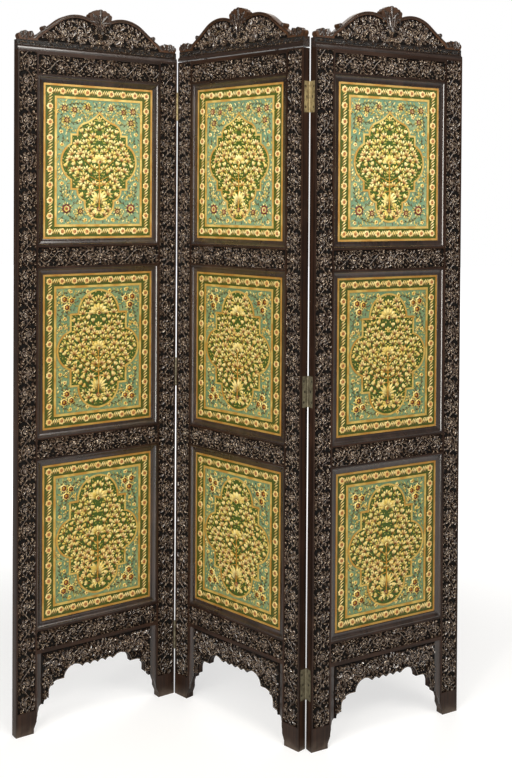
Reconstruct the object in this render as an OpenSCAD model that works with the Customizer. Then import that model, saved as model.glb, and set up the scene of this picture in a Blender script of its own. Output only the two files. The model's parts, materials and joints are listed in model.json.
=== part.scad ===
// Three-leaf folding screen: carved hardwood leaves with painted relief panels, on butt hinges.
// Millimetres. +Z is up, +Y points away from the viewer and +X to the viewer's right.
// The origin is on the floor under the middle of the standing screen's outline.
// Inside a leaf, x runs from its left edge, y from its front face to its back, z from the floor.

/* [Leaves] */
// Width of one leaf
leaf_w = 456; // [430:1:520]
// Thickness of one leaf
leaf_t = 24; // [23:1:30]
// Height of the stiles, from the floor to the seam under the cresting
frame_h = 1710; // [1650:1:1800]
// Width of a stile
stile_w = 55; // [50:1:62]
// Height of the top rail and of the bottom rail
end_rail_h = 61; // [58:1:75]
// Height of each of the two middle rails
middle_rail_h = 56; // [50:1:60]
// Underside of the bottom rail above the floor
bottom_rail_z = 198; // [190:1:230]

/* [Standing pose] */
// Turn of leaf 1 away from the viewer's left-to-right line, in degrees
leaf_1_turn = 35; // [15:1:60]
// Turn of leaf 2, in degrees
leaf_2_turn = -45; // [-60:1:-15]
// Turn of leaf 3, in degrees
leaf_3_turn = 30; // [15:1:60]

/* [Carved fields] */
// Depth to which a carved field is sunk below the face
field_depth = 4; // [2:0.5:6]
// Plain border beside a carved field
border_w = 4; // [3:0.5:6]
// Height of the plain block at the foot of a stile
foot_block_h = 57; // [45:1:80]

/* [Frame joints] */
// Thickness of a tenon
tenon_t = 7; // [5:0.5:8]
// Length of a rail's tenon
tenon_l = 32; // [20:1:36]
// Shoulder above and below a tenon
tenon_shoulder = 10; // [6:1:15]
// Clearance of a tenon in its mortise
tenon_fit = 0.1; // [0.05:0.05:0.3]
// Length of the apron's stub tenon
stub_l = 12; // [8:1:20]
// Height of the apron's stub tenon
stub_h = 34; // [20:1:40]

/* [Panels and beading] */
// Depth of the painted panels below the leaf's face
panel_recess = 9; // [7.5:0.5:10]
// Thickness of a panel board
panel_t = 8; // [6:0.5:9]
// Gap round a panel board in its opening
panel_fit = 1; // [0.5:0.1:2]
// Width of the front beading, from the frame to the sight edge
bead_w = 16.5; // [12:0.5:18]
// Depth of the beading's outer edge below the leaf's face
bead_set = 1.5; // [0.5:0.5:3]
// Width of the flat along the beading's outer edge
bead_flat_w = 3; // [2:0.5:4]
// Height and width of the small round along the beading's sight edge
bead_round = 2; // [1:0.5:3]
// Width of the back beading
back_bead_w = 10; // [8:1:14]
// Gap left in a mitre
mitre_gap = 0.2; // [0.1:0.1:0.5]

/* [Panel relief] */
// Height of the gilt fillets and straps above a panel's ground
fillet_h = 1.5; // [1:0.25:2]
// Width of the outer gilt fillet
outer_fillet_w = 5; // [3:0.5:7]
// Width of the rosette border between the two fillets
rosette_band_w = 26; // [22:1:28]
// Width of the inner gilt fillet
inner_fillet_w = 6; // [4:0.5:8]
// Width of a medallion's strap
strap_w = 5; // [4:0.5:8]
// Gap between a medallion's end lobes and the inner fillet
strap_gap = 5; // [3:0.5:8]
// Gap between a round medallion's side lobes and the inner fillet
side_gap = 1; // [0.5:0.5:3]
// Radius of the round lobes above and below a medallion
end_lobe_r = 60; // [52:1:66]
// Radius of the round lobes beside a medallion
side_lobe_r = 54; // [48:1:60]
// Half width of a medallion's square middle
square_half_w = 82; // [76:1:90]

/* [Pointed medallion] */
// Half height of the square middle
point_square_half_h = 72; // [64:1:78]
// Radius of the four shoulders
point_shoulder_r = 31; // [27:1:34]
// Distance of a shoulder's middle from the medallion's middle line
point_shoulder_x = 34; // [30:1:38]
// Radius of the bottom lobe
point_bottom_r = 44; // [40:1:48]
// Gap between the side and bottom lobes and the inner fillet
point_gap = 9.5; // [6:0.5:12]
// Height of the point above the medallion's middle
point_z = 131; // [126:1:134]
// Radius of the hollow curves that rise from the shoulders to the point
point_hollow_r = 92; // [84:1:110]

/* [Apron] */
// Depth of the apron's carved ground below the leaf's face
apron_set = 5; // [3:0.5:6]
// Depth of the apron's back below the leaf's face
apron_back = 20; // [18.5:0.5:21.5]
// Width of a foot on the floor
foot_w = 48; // [42:1:50]
// Height of the cusps in the middle of the arch
arch_cusp_z = 137; // [130:1:145]
// Drop from those cusps to the middle of a high lobe
high_lobe_drop = 19; // [16:1:22]
// Radius of the high lobes of the arch
high_lobe_r = 29; // [26:1:32]
// Distance of a high lobe's middle from the leg
high_lobe_in = 107; // [98:1:112]
// Radius of the low lobes of the arch
low_lobe_r = 26; // [23:1:28]
// Distance of a low lobe's middle from the leg
low_lobe_in = 61; // [56:1:64]
// Height of the knee, where a foot begins to widen
knee_z = 56; // [50:1:62]
// Distance of the knee from the leg
knee_in = 8; // [6:1:10]
// Radius of the two scallops of the bracket
bracket_scallop_r = 12; // [11:0.5:13]
// Overlap of those scallops with the outline beside them
bracket_lap = 2; // [1.5:0.5:4]
// Radius of the small scallops in the middle of the arch
scallop_r = 12; // [11.5:0.5:14]
// Pitch of the small scallops
scallop_pitch = 22; // [20:0.5:22.5]

/* [Cresting] */
// Height of the cresting's moulded rail
crest_rail_h = 25; // [20:1:30]
// Height of the cove at the foot of the moulded rail
cove_h = 11; // [8:1:14]
// Depth to which the moulded rail is cut back above its cove
cove_d = 5; // [3:0.5:6]
// Thickness of the carved cresting board
crest_t = 20; // [16:1:22]
// Radius of the cresting's two arches
crest_arch_r = 95; // [90:1:100]
// Distance of an arch's middle from the leaf's middle
crest_arch_x = 65; // [60:1:70]
// Height of an arch above the frame
crest_arch_h = 100; // [94:1:104]
// Distance from an arch's middle to the top of its slope
slope_top_out = 60; // [56:1:64]
// Height of a slope's foot above the moulded rail
slope_foot_up = 9; // [7:1:12]
// Plain rim along the arches
crest_rim_w = 8; // [5:0.5:12]
// Depth of the carved ground inside the rim
crest_field_depth = 4; // [2:0.5:5]
// Height of the finial above the frame
crest_h = 120; // [116:1:126]
// Width of the corner leaves
corner_w = 46; // [42:1:50]
// Height of the corner leaves above the frame
corner_h = 48; // [44:1:54]
// Plain margin beside the corner leaves
corner_in = 4; // [2:1:6]
// Radius of the volutes on the arches' shoulders
volute_r = 5.5; // [4.5:0.5:7]
// Gap under the middle leaf's cresting, which isn't pushed right down
middle_seam = 3; // [0.5:0.5:4]

/* [Cresting dowels] */
// Radius of a dowel
dowel_r = 4; // [3:0.5:5]
// Distance of a dowel from the leaf's middle
dowel_x = 130; // [110:1:140]
// Depth of a dowel in the top rail
dowel_deep = 26; // [20:1:30]
// Height of a dowel in the cresting board
dowel_high = 20; // [15:1:24]
// Radial clearance of a dowel
dowel_fit = 0.05; // [0.03:0.01:0.1]

/* [Hinges] */
// Length of a hinge
hinge_l = 76; // [60:1:90]
// Width of a hinge plate, from the face it opens at
plate_w = 18; // [16:0.5:20]
// Thickness of a hinge plate
plate_t = 2; // [2:0.1:2.5]
// Gap between two leaves' edges when the screen is opened flat
joint_gap = 2; // [2:0.1:3]
// Distance of a pin's axis outside the face of the leaves
pin_out = 0.8; // [0.6:0.1:1]
// Radius of a hinge knuckle
knuckle_r = 2.8; // [2.6:0.05:2.8]
// Radius of a hinge pin
pin_r = 1.25; // [1:0.05:1.4]
// Running clearance round a hinge pin
pin_fit = 0.05; // [0.03:0.01:0.1]
// Gap between neighbouring knuckles, and round a knuckle in the other plate
knuckle_gap = 0.3; // [0.2:0.05:0.4]
// Height of the middle of the lowest hinge
low_hinge_z = 160; // [110:1:180]
// Distance of the highest hinge's middle below the frame's top
high_hinge_drop = 118; // [90:1:160]
// Distance of the outer screws from a plate's far edge
screw_in = 5; // [4.5:0.5:6]
// Distance of the middle screw inside that line
screw_step = 4; // [3:0.5:5]
// Radius of a screw's shank
screw_r = 1.6; // [1.3:0.1:1.8]
// Radius of a screw's head
screw_head_r = 3.2; // [2.8:0.1:3.4]
// Length of a screw
screw_l = 18; // [12:1:24]
// Radial clearance of a screw
screw_fit = 0.05; // [0.03:0.01:0.1]

/* [Hidden] */
$fn = 48;
eps = 1;
wood = "#3a2618";
wood_light = "#4b3120";
wood_dark = "#2c1c12";
brass = "#a5853f";
iron = "#6f5f45";
painted = "#5f9788";

leaves = [1, 2, 3];
leaf_turn = [leaf_1_turn, leaf_2_turn, leaf_3_turn];

// Openings between the rails, from the bottom row up, and the sight size inside the beading
inner_w = leaf_w - 2 * stile_w;
opening_h = (frame_h - bottom_rail_z - 2 * end_rail_h - 2 * middle_rail_h) / 3;
sight_w = inner_w - 2 * bead_w;
sight_h = opening_h - 2 * bead_w;
function opening_z(row) = bottom_rail_z + end_rail_h + row * (opening_h + middle_rail_h);
lower_rail_z = opening_z(1) - middle_rail_h;
upper_rail_z = opening_z(2) - middle_rail_h;
top_rail_z = frame_h - end_rail_h;

// All rails share one height of carved field; tenons lie midway between field and back
field_h = middle_rail_h - 2 * border_w;
tenon_y = (field_depth + leaf_t - tenon_t) / 2;
stub_z = bottom_rail_z - tenon_shoulder - stub_h;

// Relief of a panel: its field inside the two fillets, and the lobes of its medallion
relief_in = outer_fillet_w + rosette_band_w + inner_fillet_w;
relief_half_w = sight_w / 2 - relief_in;
relief_half_h = sight_h / 2 - relief_in;
end_lobe_z = relief_half_h - strap_gap - end_lobe_r;
side_lobe_x = relief_half_w - side_gap - side_lobe_r;

// Hollow curve of the pointed medallion: it touches a shoulder and ends in the point
hollow_away = point_hollow_r + point_shoulder_r;
point_away = norm([point_shoulder_x, point_z - point_square_half_h]);
hollow_turn = atan2(point_z - point_square_half_h, -point_shoulder_x)
    - acos((pow(hollow_away, 2) + pow(point_away, 2) - pow(point_hollow_r, 2))
        / (2 * hollow_away * point_away));
hollow_x = point_shoulder_x + hollow_away * cos(hollow_turn);
hollow_z = point_square_half_h + hollow_away * sin(hollow_turn);
hollow_start_x = point_shoulder_x + point_shoulder_r * cos(hollow_turn);

// Arch under the apron, measured from the leaf's middle
leg_x = inner_w / 2;
foot_x = leaf_w / 2 - foot_w;
high_lobe_x = leg_x - high_lobe_in;
high_lobe_z = arch_cusp_z - high_lobe_drop;
low_lobe_x = leg_x - low_lobe_in;
low_lobe_z = high_lobe_z - low_lobe_r;
low_lobe_edge = low_lobe_x + low_lobe_r;
knee_x = leg_x - knee_in;
foot_outline = [[0, -eps], [foot_x, -eps], [foot_x, 12], [leg_x, knee_z / 2],
    [leg_x - knee_in / 3, knee_z * 3 / 4], [knee_x, knee_z], [0, knee_z]];
lower_scallop_r = bracket_scallop_r - bracket_lap;
lower_scallop_x = knee_x - lower_scallop_r;
scallop_n = floor(2 * high_lobe_x / scallop_pitch) - 2;

// Cresting, measured from the leaf's middle and from the frame's top
seam = [0, middle_seam, 0];
crest_y = (leaf_t - crest_t) / 2;
crest_arch_z = crest_arch_h - crest_arch_r;
slope_top_x = crest_arch_x + slope_top_out;
slope_top_z = crest_arch_z + sqrt(pow(crest_arch_r, 2) - pow(slope_top_x - crest_arch_x, 2));
slope_foot_x = leaf_w / 2 - corner_w;
slope_foot_z = crest_rail_h + slope_foot_up;
volute_x = (slope_top_x + slope_foot_x) / 2 + volute_r / 2;
volute_z = (slope_top_z + slope_foot_z) / 2 + volute_r / 3;
slope_turn = atan2(slope_foot_z - slope_top_z, slope_foot_x - slope_top_x);
// The finial's body and lobes as distances from the leaf's middle and depths below its top
finial_body = [[0, 50], [30, 32], [32, 20], [22, 12], [0, 6]];
finial_lobes = [[0, 9], [11, 10.5], [20, 14], [27, 18]];
finial_lobe_rs = [9, 8, 7, 5.5];
// The corner leaves' lobes as shares of their width and depths below their top
corner_lobes = [[0.26, 10], [0.56, 9], [0.79, 14]];
corner_lobe_rs = [9, 9, 8];

// Hinges: the lower end of each, and where the knuckles and screws lie on it
low_hinge = low_hinge_z - hinge_l / 2;
high_hinge = frame_h - high_hinge_drop - hinge_l / 2;
hinge_zs = [low_hinge, (low_hinge + high_hinge) / 2, high_hinge];
knuckle_n = 5;
knuckle_l = hinge_l / knuckle_n;
screw_pitch = hinge_l / 3;
screw_ys = [plate_w - screw_in, plate_w - screw_in - screw_step, plate_w - screw_in];
slot_w = 0.8;

// Plan of the standing screen: unit vectors along a leaf and towards its back
function along(turn) = [cos(turn), sin(turn)];
function behind(turn) = [-sin(turn), cos(turn)];
// Joint 1-2 has its pins in front of the leaves, joint 2-3 has them behind
pins_12 = [0, 0];
pins_23 = pins_12 + (leaf_w + joint_gap) * along(leaf_2_turn)
    + (leaf_t + 2 * pin_out) * behind(leaf_2_turn);
leaf_corner = [
    pins_12 - (leaf_w + joint_gap / 2) * along(leaf_1_turn) + pin_out * behind(leaf_1_turn),
    pins_12 + joint_gap / 2 * along(leaf_2_turn) + pin_out * behind(leaf_2_turn),
    pins_23 + joint_gap / 2 * along(leaf_3_turn) - (leaf_t + pin_out) * behind(leaf_3_turn)];
outline = [for (i = [0 : 2], a = [0, leaf_w], b = [0, leaf_t])
    leaf_corner[i] + a * along(leaf_turn[i]) + b * behind(leaf_turn[i])];
outline_x = [for (p = outline) p[0]];
outline_y = [for (p = outline) p[1]];
middle = [(min(outline_x) + max(outline_x)) / 2, (min(outline_y) + max(outline_y)) / 2];

leaf_pieces = ["stile_left", "stile_right", "top_rail", "upper_rail", "lower_rail", "bottom_rail",
    "apron", "panel_top", "panel_middle", "panel_bottom", "front_beading", "back_beading",
    "crest_rail", "crest", "crest_dowels"];
function leaf_node(leaf, piece) = str("leaf_", leaf, "_", piece);

// Placing

// Puts a leaf's own frame where that leaf stands
module stand(leaf) {
    place = leaf_corner[leaf - 1] - middle;
    translate([place[0], place[1], 0]) rotate(leaf_turn[leaf - 1]) children();
}

// Extrudes a flat shape, drawn about the leaf's middle in x and z, from depth y0 to y1
module board(y0, y1) {
    translate([leaf_w / 2, y1, 0]) rotate([90, 0, 0]) linear_extrude(y1 - y0) children();
}

// Draws a flat shape and its mirror image about the leaf's middle
module both_sides() {
    children();
    mirror([1, 0]) children();
}

// Frame

// Right half of the opening between the legs
module arch_half() {
    translate([0, -eps]) square([low_lobe_edge, low_lobe_z + eps]);
    square([low_lobe_x, high_lobe_z]);
    square([high_lobe_x, arch_cusp_z]);
    translate([high_lobe_x, high_lobe_z]) circle(high_lobe_r);
    translate([low_lobe_x, low_lobe_z]) circle(low_lobe_r);
    translate([low_lobe_edge + bracket_lap, knee_z + bracket_scallop_r])
        circle(bracket_scallop_r);
    translate([lower_scallop_x, knee_z]) circle(lower_scallop_r);
    square([lower_scallop_x, knee_z + 2 * bracket_lap]);
    polygon(foot_outline);
}

// Opening between the legs, with its row of small scallops
module arch() {
    both_sides() arch_half();
    for (i = [0 : scallop_n - 1])
        translate([(i - (scallop_n - 1) / 2) * scallop_pitch, arch_cusp_z - scallop_r / 2])
            circle(scallop_r);
}

// Mortise of length l for a tenon of height h whose lower edge is at z
module mortise(z, h, l) {
    translate([stile_w - l - eps, tenon_y - tenon_fit, z - tenon_fit])
        cube([l + 2 * eps, tenon_t + 2 * tenon_fit, h + 2 * tenon_fit]);
}

// Mortise for a rail of height h whose lower edge is at z
module rail_mortise(z, h) {
    mortise(z + tenon_shoulder, h - 2 * tenon_shoulder, tenon_l);
}

// Hinge seats and screw holes in a stile's outer edge, open at the front face
module hinge_seats() {
    for (z = hinge_zs) translate([0, 0, z]) {
        translate([-eps, -eps, 0]) cube([plate_t + eps, plate_w + eps, hinge_l]);
        for (i = [0 : 2]) translate([0, screw_ys[i], (i + 0.5) * screw_pitch])
            rotate([0, 90, 0]) cylinder(r = screw_r + screw_fit, h = screw_l + eps);
    }
}

// One stile, drawn as a left one; opens_at is "" for no hinges, else the face of their knuckles
module stile(opens_at) {
    difference() {
        cube([stile_w, leaf_t, frame_h]);
        translate([border_w, -eps, foot_block_h])
            cube([stile_w - 2 * border_w, eps + field_depth, frame_h - foot_block_h - border_w]);
        board(-eps, leaf_t + eps) arch();
        rail_mortise(bottom_rail_z, end_rail_h);
        rail_mortise(lower_rail_z, middle_rail_h);
        rail_mortise(upper_rail_z, middle_rail_h);
        rail_mortise(top_rail_z, end_rail_h);
        mortise(stub_z, stub_h, stub_l);
        if (opens_at == "front") hinge_seats();
        if (opens_at == "back") translate([0, leaf_t, 0]) mirror([0, 1, 0]) hinge_seats();
    }
}

module stile_left(leaf) {
    color(wood) stand(leaf) stile(["", "front", "back"][leaf - 1]);
}

module stile_right(leaf) {
    color(wood) stand(leaf) translate([leaf_w, 0, 0]) mirror([1, 0, 0])
        stile(["front", "back", ""][leaf - 1]);
}

// Tenons of length l at both ends of a board between the stiles, from z up
module tenons(z, h, l) {
    translate([stile_w - l + eps, tenon_y, z])
        cube([inner_w + 2 * (l - eps), tenon_t, h]);
}

// One rail of height h with its lower edge at z; its carved field starts field_up above that
module rail(z, h, field_up) {
    difference() {
        union() {
            translate([stile_w, 0, z]) cube([inner_w, leaf_t, h]);
            tenons(z + tenon_shoulder, h - 2 * tenon_shoulder, tenon_l);
        }
        translate([stile_w - eps, -eps, z + field_up])
            cube([inner_w + 2 * eps, eps + field_depth, field_h]);
    }
}

module top_rail(leaf) {
    color(wood) stand(leaf) difference() {
        rail(top_rail_z, end_rail_h, border_w);
        dowels(frame_h - dowel_deep, dowel_deep + eps, dowel_r + dowel_fit);
    }
}

module upper_rail(leaf) {
    color(wood) stand(leaf) rail(upper_rail_z, middle_rail_h, border_w);
}

module lower_rail(leaf) {
    color(wood) stand(leaf) rail(lower_rail_z, middle_rail_h, border_w);
}

module bottom_rail(leaf) {
    color(wood) stand(leaf) rail(bottom_rail_z, end_rail_h, end_rail_h - border_w - field_h);
}

// Fretted board between the legs; its carved ground stands proud between the two leg strips
module apron(leaf) {
    color(wood_light) stand(leaf) difference() {
        union() {
            translate([stile_w, panel_recess, 0])
                cube([inner_w, apron_back - panel_recess, bottom_rail_z]);
            translate([stile_w + bead_w, apron_set, 0])
                cube([inner_w - 2 * bead_w, apron_back - apron_set, bottom_rail_z]);
            tenons(stub_z, stub_h, stub_l);
        }
        board(-eps, leaf_t + eps) arch();
    }
}

// Panels and beading

// Section of the front beading: its width runs along x, the depth below the leaf's face along y
module bead_section() {
    hollow_w = bead_w - bead_flat_w - bead_round;
    hollow_d = panel_recess - bead_set - bead_round;
    difference() {
        translate([0, bead_set]) square([bead_w, panel_recess - bead_set]);
        polygon(concat(
            [[bead_flat_w, 0]],
            [for (a = [0 : 15 : 90])
                [bead_flat_w + hollow_w * (1 - cos(a)), bead_set + hollow_d * sin(a)]],
            [[bead_w - bead_round / 3, bead_set + hollow_d + bead_round / 6],
             [bead_w + eps, bead_set + hollow_d + bead_round], [bead_w + eps, 0]]));
    }
}

// Bar of length l along x with mitred ends, growing w upwards from its outer edge
module mitred_bar(l, w, y0, y1) {
    translate([0, y1, 0]) rotate([90, 0, 0]) linear_extrude(y1 - y0)
        polygon([[mitre_gap, 0], [l - mitre_gap, 0], [l - w - mitre_gap, w], [w + mitre_gap, w]]);
}

// Bar of the front beading's section along x
module moulded_bar(l) {
    translate([l, 0, 0]) rotate([0, -90, 0]) linear_extrude(l) bead_section();
}

module front_strip(l) {
    intersection() {
        mitred_bar(l, bead_w, 0, panel_recess);
        moulded_bar(l);
    }
}

module back_strip(l) {
    mitred_bar(l, back_bead_w, panel_recess + panel_t, leaf_t);
}

// Strip along the left leg, above the arch's outline
module leg_strip() {
    difference() {
        translate([stile_w, 0, 0]) mirror([1, 0, -1]) moulded_bar(bottom_rail_z);
        board(-eps, leaf_t + eps) arch();
    }
}

// Lays strips along the two level sides (children 0) and the two upright sides (children 1)
module round_openings() {
    for (row = [0 : 2]) translate([stile_w, 0, opening_z(row)]) {
        children(0);
        translate([0, 0, opening_h]) mirror([0, 0, 1]) children(0);
        mirror([1, 0, -1]) children(1);
        translate([inner_w, 0, 0]) mirror([1, 0, 0]) mirror([1, 0, -1]) children(1);
    }
}

module front_beading(leaf) {
    color(wood_dark) stand(leaf) {
        round_openings() {
            front_strip(inner_w);
            front_strip(opening_h);
        }
        leg_strip();
        translate([leaf_w, 0, 0]) mirror([1, 0, 0]) leg_strip();
    }
}

module back_beading(leaf) {
    color(wood_dark) stand(leaf) round_openings() {
        back_strip(inner_w);
        back_strip(opening_h);
    }
}

// Rectangular fillet of width w, starting start inside the sight edge
module fillet(start, w) {
    difference() {
        square([sight_w - 2 * start, sight_h - 2 * start], center = true);
        square([sight_w - 2 * (start + w), sight_h - 2 * (start + w)], center = true);
    }
}

// Medallion of the middle and bottom panels, drawn in by inset
module round_medallion(inset) {
    square([2 * (square_half_w - inset), 2 * (end_lobe_z - inset)], center = true);
    both_sides() translate([side_lobe_x, 0]) circle(side_lobe_r - inset);
    for (s = [-1, 1]) translate([0, s * end_lobe_z]) circle(end_lobe_r - inset);
}

// Medallion of the top panel, with its pointed top, drawn in by inset
module pointed_medallion(inset) {
    square([2 * (square_half_w - inset), 2 * (point_square_half_h - inset)], center = true);
    both_sides() translate([relief_half_w - point_gap - side_lobe_r, 0])
        circle(side_lobe_r - inset);
    both_sides() for (s = [-1, 1])
        translate([point_shoulder_x, s * point_square_half_h]) circle(point_shoulder_r - inset);
    square([2 * point_shoulder_x, 2 * (point_square_half_h + point_shoulder_r - inset)],
        center = true);
    translate([0, point_gap + point_bottom_r - relief_half_h]) circle(point_bottom_r - inset);
    difference() {
        translate([-hollow_start_x, 0]) square([2 * hollow_start_x, point_z]);
        both_sides() translate([hollow_x, hollow_z]) circle(point_hollow_r + inset);
    }
}

// Board of one panel with its gilt fillets; children 0 and 1 are its medallion's outer and inner
// outlines
module panel(leaf, row) {
    color(painted) stand(leaf) translate([0, 0, opening_z(row) + opening_h / 2]) {
        board(panel_recess, panel_recess + panel_t)
            square([inner_w - 2 * panel_fit, opening_h - 2 * panel_fit], center = true);
        board(panel_recess - fillet_h, panel_recess + eps) {
            fillet(panel_fit / 2, outer_fillet_w);
            fillet(outer_fillet_w + rosette_band_w, inner_fillet_w);
            difference() {
                children(0);
                children(1);
            }
        }
    }
}

module panel_top(leaf) {
    panel(leaf, 2) {
        pointed_medallion(0);
        pointed_medallion(strap_w);
    }
}

module panel_middle(leaf) {
    panel(leaf, 1) {
        round_medallion(0);
        round_medallion(strap_w);
    }
}

module panel_bottom(leaf) {
    panel(leaf, 0) {
        round_medallion(0);
        round_medallion(strap_w);
    }
}

// Cresting

// Puts the cresting's frame, measured from the frame's top, on a leaf
module on_top(leaf) {
    stand(leaf) translate([0, 0, frame_h + seam[leaf - 1]]) children();
}

// The two dowels, or their bores
module dowels(z, h, r) {
    for (s = [-1, 1]) translate([leaf_w / 2 + s * dowel_x, leaf_t / 2, z]) cylinder(r = r, h = h);
}

module crest_rail(leaf) {
    color(wood_dark) on_top(leaf) difference() {
        rotate([90, 0, 90]) linear_extrude(leaf_w) polygon(concat(
            [[0, 0], [0, cove_h / 3]],
            [for (a = [30 : 30 : 90])
                [cove_d * (1 - cos(a)), cove_h / 3 + cove_h * 2 / 3 * sin(a)]],
            [[cove_d, crest_rail_h], [leaf_t, crest_rail_h], [leaf_t, 0]]));
        dowels(-eps, crest_rail_h + 2 * eps, dowel_r + dowel_fit);
    }
}

// Arches and shoulders of the cresting, drawn in by inset
module crest_arches(inset) {
    down = 1.2 * inset;
    both_sides() {
        intersection() {
            translate([crest_arch_x, crest_arch_z]) circle(crest_arch_r - inset);
            translate([0, crest_rail_h]) square([slope_top_x, crest_arch_h]);
        }
        polygon([[0, crest_rail_h], [slope_foot_x - inset, crest_rail_h],
            [slope_foot_x - inset, slope_foot_z - inset / 2], [slope_top_x, slope_top_z - down],
            [0, slope_top_z - down]]);
    }
}

// Palmette in the middle of the cresting
module finial() {
    both_sides() {
        polygon([for (p = finial_body) [p[0], crest_h - p[1]]]);
        for (i = [0 : len(finial_lobes) - 1])
            translate([finial_lobes[i][0], crest_h - finial_lobes[i][1]])
                circle(finial_lobe_rs[i]);
    }
}

// Corner leaves of the cresting, three lobes on a low block
module corner_leaves() {
    both_sides() translate([slope_foot_x, 0]) {
        translate([-corner_in, crest_rail_h]) square([corner_w, slope_foot_up]);
        translate([2 * corner_in, crest_rail_h])
            square([corner_w - 3 * corner_in, (corner_h - crest_rail_h) / 2]);
        for (i = [0 : len(corner_lobes) - 1])
            translate([corner_lobes[i][0] * corner_w, corner_h - corner_lobes[i][1]])
                circle(corner_lobe_rs[i]);
    }
}

// Volutes that stand out from the slopes
module volutes() {
    both_sides() translate([volute_x, volute_z]) {
        circle(volute_r);
        rotate(slope_turn) translate([-volute_r, -2 * volute_r]) square(2 * volute_r);
    }
}

module crest(leaf) {
    color(wood_light) on_top(leaf) difference() {
        board(crest_y, crest_y + crest_t) {
            crest_arches(0);
            finial();
            corner_leaves();
            volutes();
        }
        difference() {
            board(crest_y - eps, crest_y + crest_field_depth) crest_arches(crest_rim_w);
            board(crest_y - 2 * eps, crest_y + crest_t) finial();
        }
        dowels(crest_rail_h - eps, dowel_high + eps, dowel_r + dowel_fit);
    }
}

module crest_dowels(leaf) {
    color(wood_light) stand(leaf) dowels(frame_h - dowel_deep,
        dowel_deep + seam[leaf - 1] + crest_rail_h + dowel_high, dowel_r);
}

// Hinges

// Puts the frame of a joint's pins on the floor, turned as one of its leaves
module at_pins(pins, leaf) {
    place = pins - middle;
    translate([place[0], place[1], 0]) rotate(leaf_turn[leaf - 1])
        for (z = hinge_zs) translate([0, 0, z]) children();
}

// Screw, from its head's face at x = 0 into the stile towards -x
module screw(r, head_r, l) {
    rotate([0, -90, 0]) {
        cylinder(r = r, h = l);
        cylinder(r1 = head_r, r2 = r, h = head_r - r);
    }
}

// Places of the three screws of a plate that lies on the -x side of the pin
module at_screws() {
    for (i = [0 : 2])
        translate([-joint_gap / 2, pin_out + screw_ys[i], (i + 0.5) * screw_pitch]) children();
}

// Plate on the -x side of a pin at x = 0, y = 0; its first knuckle is number first
module plate(first) {
    difference() {
        union() {
            translate([-joint_gap / 2 - plate_t, knuckle_gap, 0])
                cube([plate_t, plate_w + pin_out - knuckle_gap, hinge_l]);
            for (i = [first : 2 : knuckle_n - 1])
                translate([0, 0, i * knuckle_l + knuckle_gap / 2])
                    cylinder(r = knuckle_r, h = knuckle_l - knuckle_gap);
        }
        for (i = [1 - first : 2 : knuckle_n - 1])
            translate([0, 0, i * knuckle_l - knuckle_gap / 2])
                cylinder(r = knuckle_r + knuckle_gap, h = knuckle_l + knuckle_gap);
        translate([0, 0, -eps]) cylinder(r = pin_r + pin_fit, h = hinge_l + 2 * eps);
        at_screws() screw(screw_r + screw_fit, screw_head_r + screw_fit, plate_t + eps);
    }
}

// The three screws of such a plate, each with its slot
module plate_screws() {
    at_screws() difference() {
        screw(screw_r, screw_head_r, screw_l);
        translate([-slot_w, -screw_head_r - eps, -slot_w / 2])
            cube([slot_w + eps, 2 * (screw_head_r + eps), slot_w]);
    }
}

module pins(pins, leaf) {
    color(iron) at_pins(pins, leaf) translate([0, 0, knuckle_gap / 2])
        cylinder(r = pin_r, h = hinge_l - knuckle_gap);
}

module plates_12_leaf_1() {
    color(brass) at_pins(pins_12, 1) plate(1);
}

module plates_12_leaf_2() {
    color(brass) at_pins(pins_12, 2) mirror([1, 0, 0]) plate(0);
}

module plates_23_leaf_2() {
    color(brass) at_pins(pins_23, 2) mirror([0, 1, 0]) plate(0);
}

module plates_23_leaf_3() {
    color(brass) at_pins(pins_23, 3) mirror([1, 0, 0]) mirror([0, 1, 0]) plate(1);
}

module screws_12_leaf_1() {
    color(iron) at_pins(pins_12, 1) plate_screws();
}

module screws_12_leaf_2() {
    color(iron) at_pins(pins_12, 2) mirror([1, 0, 0]) plate_screws();
}

module screws_23_leaf_2() {
    color(iron) at_pins(pins_23, 2) mirror([0, 1, 0]) plate_screws();
}

module screws_23_leaf_3() {
    color(iron) at_pins(pins_23, 3) mirror([1, 0, 0]) mirror([0, 1, 0]) plate_screws();
}

for (leaf = leaves) {
    stile_left(leaf);
    stile_right(leaf);
    top_rail(leaf);
    upper_rail(leaf);
    lower_rail(leaf);
    bottom_rail(leaf);
    apron(leaf);
    panel_top(leaf);
    panel_middle(leaf);
    panel_bottom(leaf);
    front_beading(leaf);
    back_beading(leaf);
    crest_rail(leaf);
    crest(leaf);
    crest_dowels(leaf);
}
plates_12_leaf_1();  // hinges_12_plates_leaf_1
plates_12_leaf_2();  // hinges_12_plates_leaf_2
pins(pins_12, 2);  // hinges_12_pins
screws_12_leaf_1();  // hinges_12_screws_leaf_1
screws_12_leaf_2();  // hinges_12_screws_leaf_2
plates_23_leaf_2();  // hinges_23_plates_leaf_2
plates_23_leaf_3();  // hinges_23_plates_leaf_3
pins(pins_23, 2);  // hinges_23_pins
screws_23_leaf_2();  // hinges_23_screws_leaf_2
screws_23_leaf_3();  // hinges_23_screws_leaf_3
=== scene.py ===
"""Dresses the three-leaf folding screen.

The solids carry the frame, the boards, the gilt fillets and the hinges. This script adds what the
carver and the painter add: scrolls and foliage in the sunk fields, the flower relief of the nine
panels, and the finish of every surface. Motifs are modelled and drawn flat, in millimetres, with
their height towards the viewer, and each drawing is then laid on the three leaves.
"""

import json
import logging
import math
import random
from collections.abc import Callable, Sequence
from dataclasses import dataclass, field
from enum import Enum

import bmesh
import bpy
from bmesh.types import BMVert
from bpy.types import Material, Node, NodeSocket, Object
from mathutils import Euler, Matrix, Vector

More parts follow.
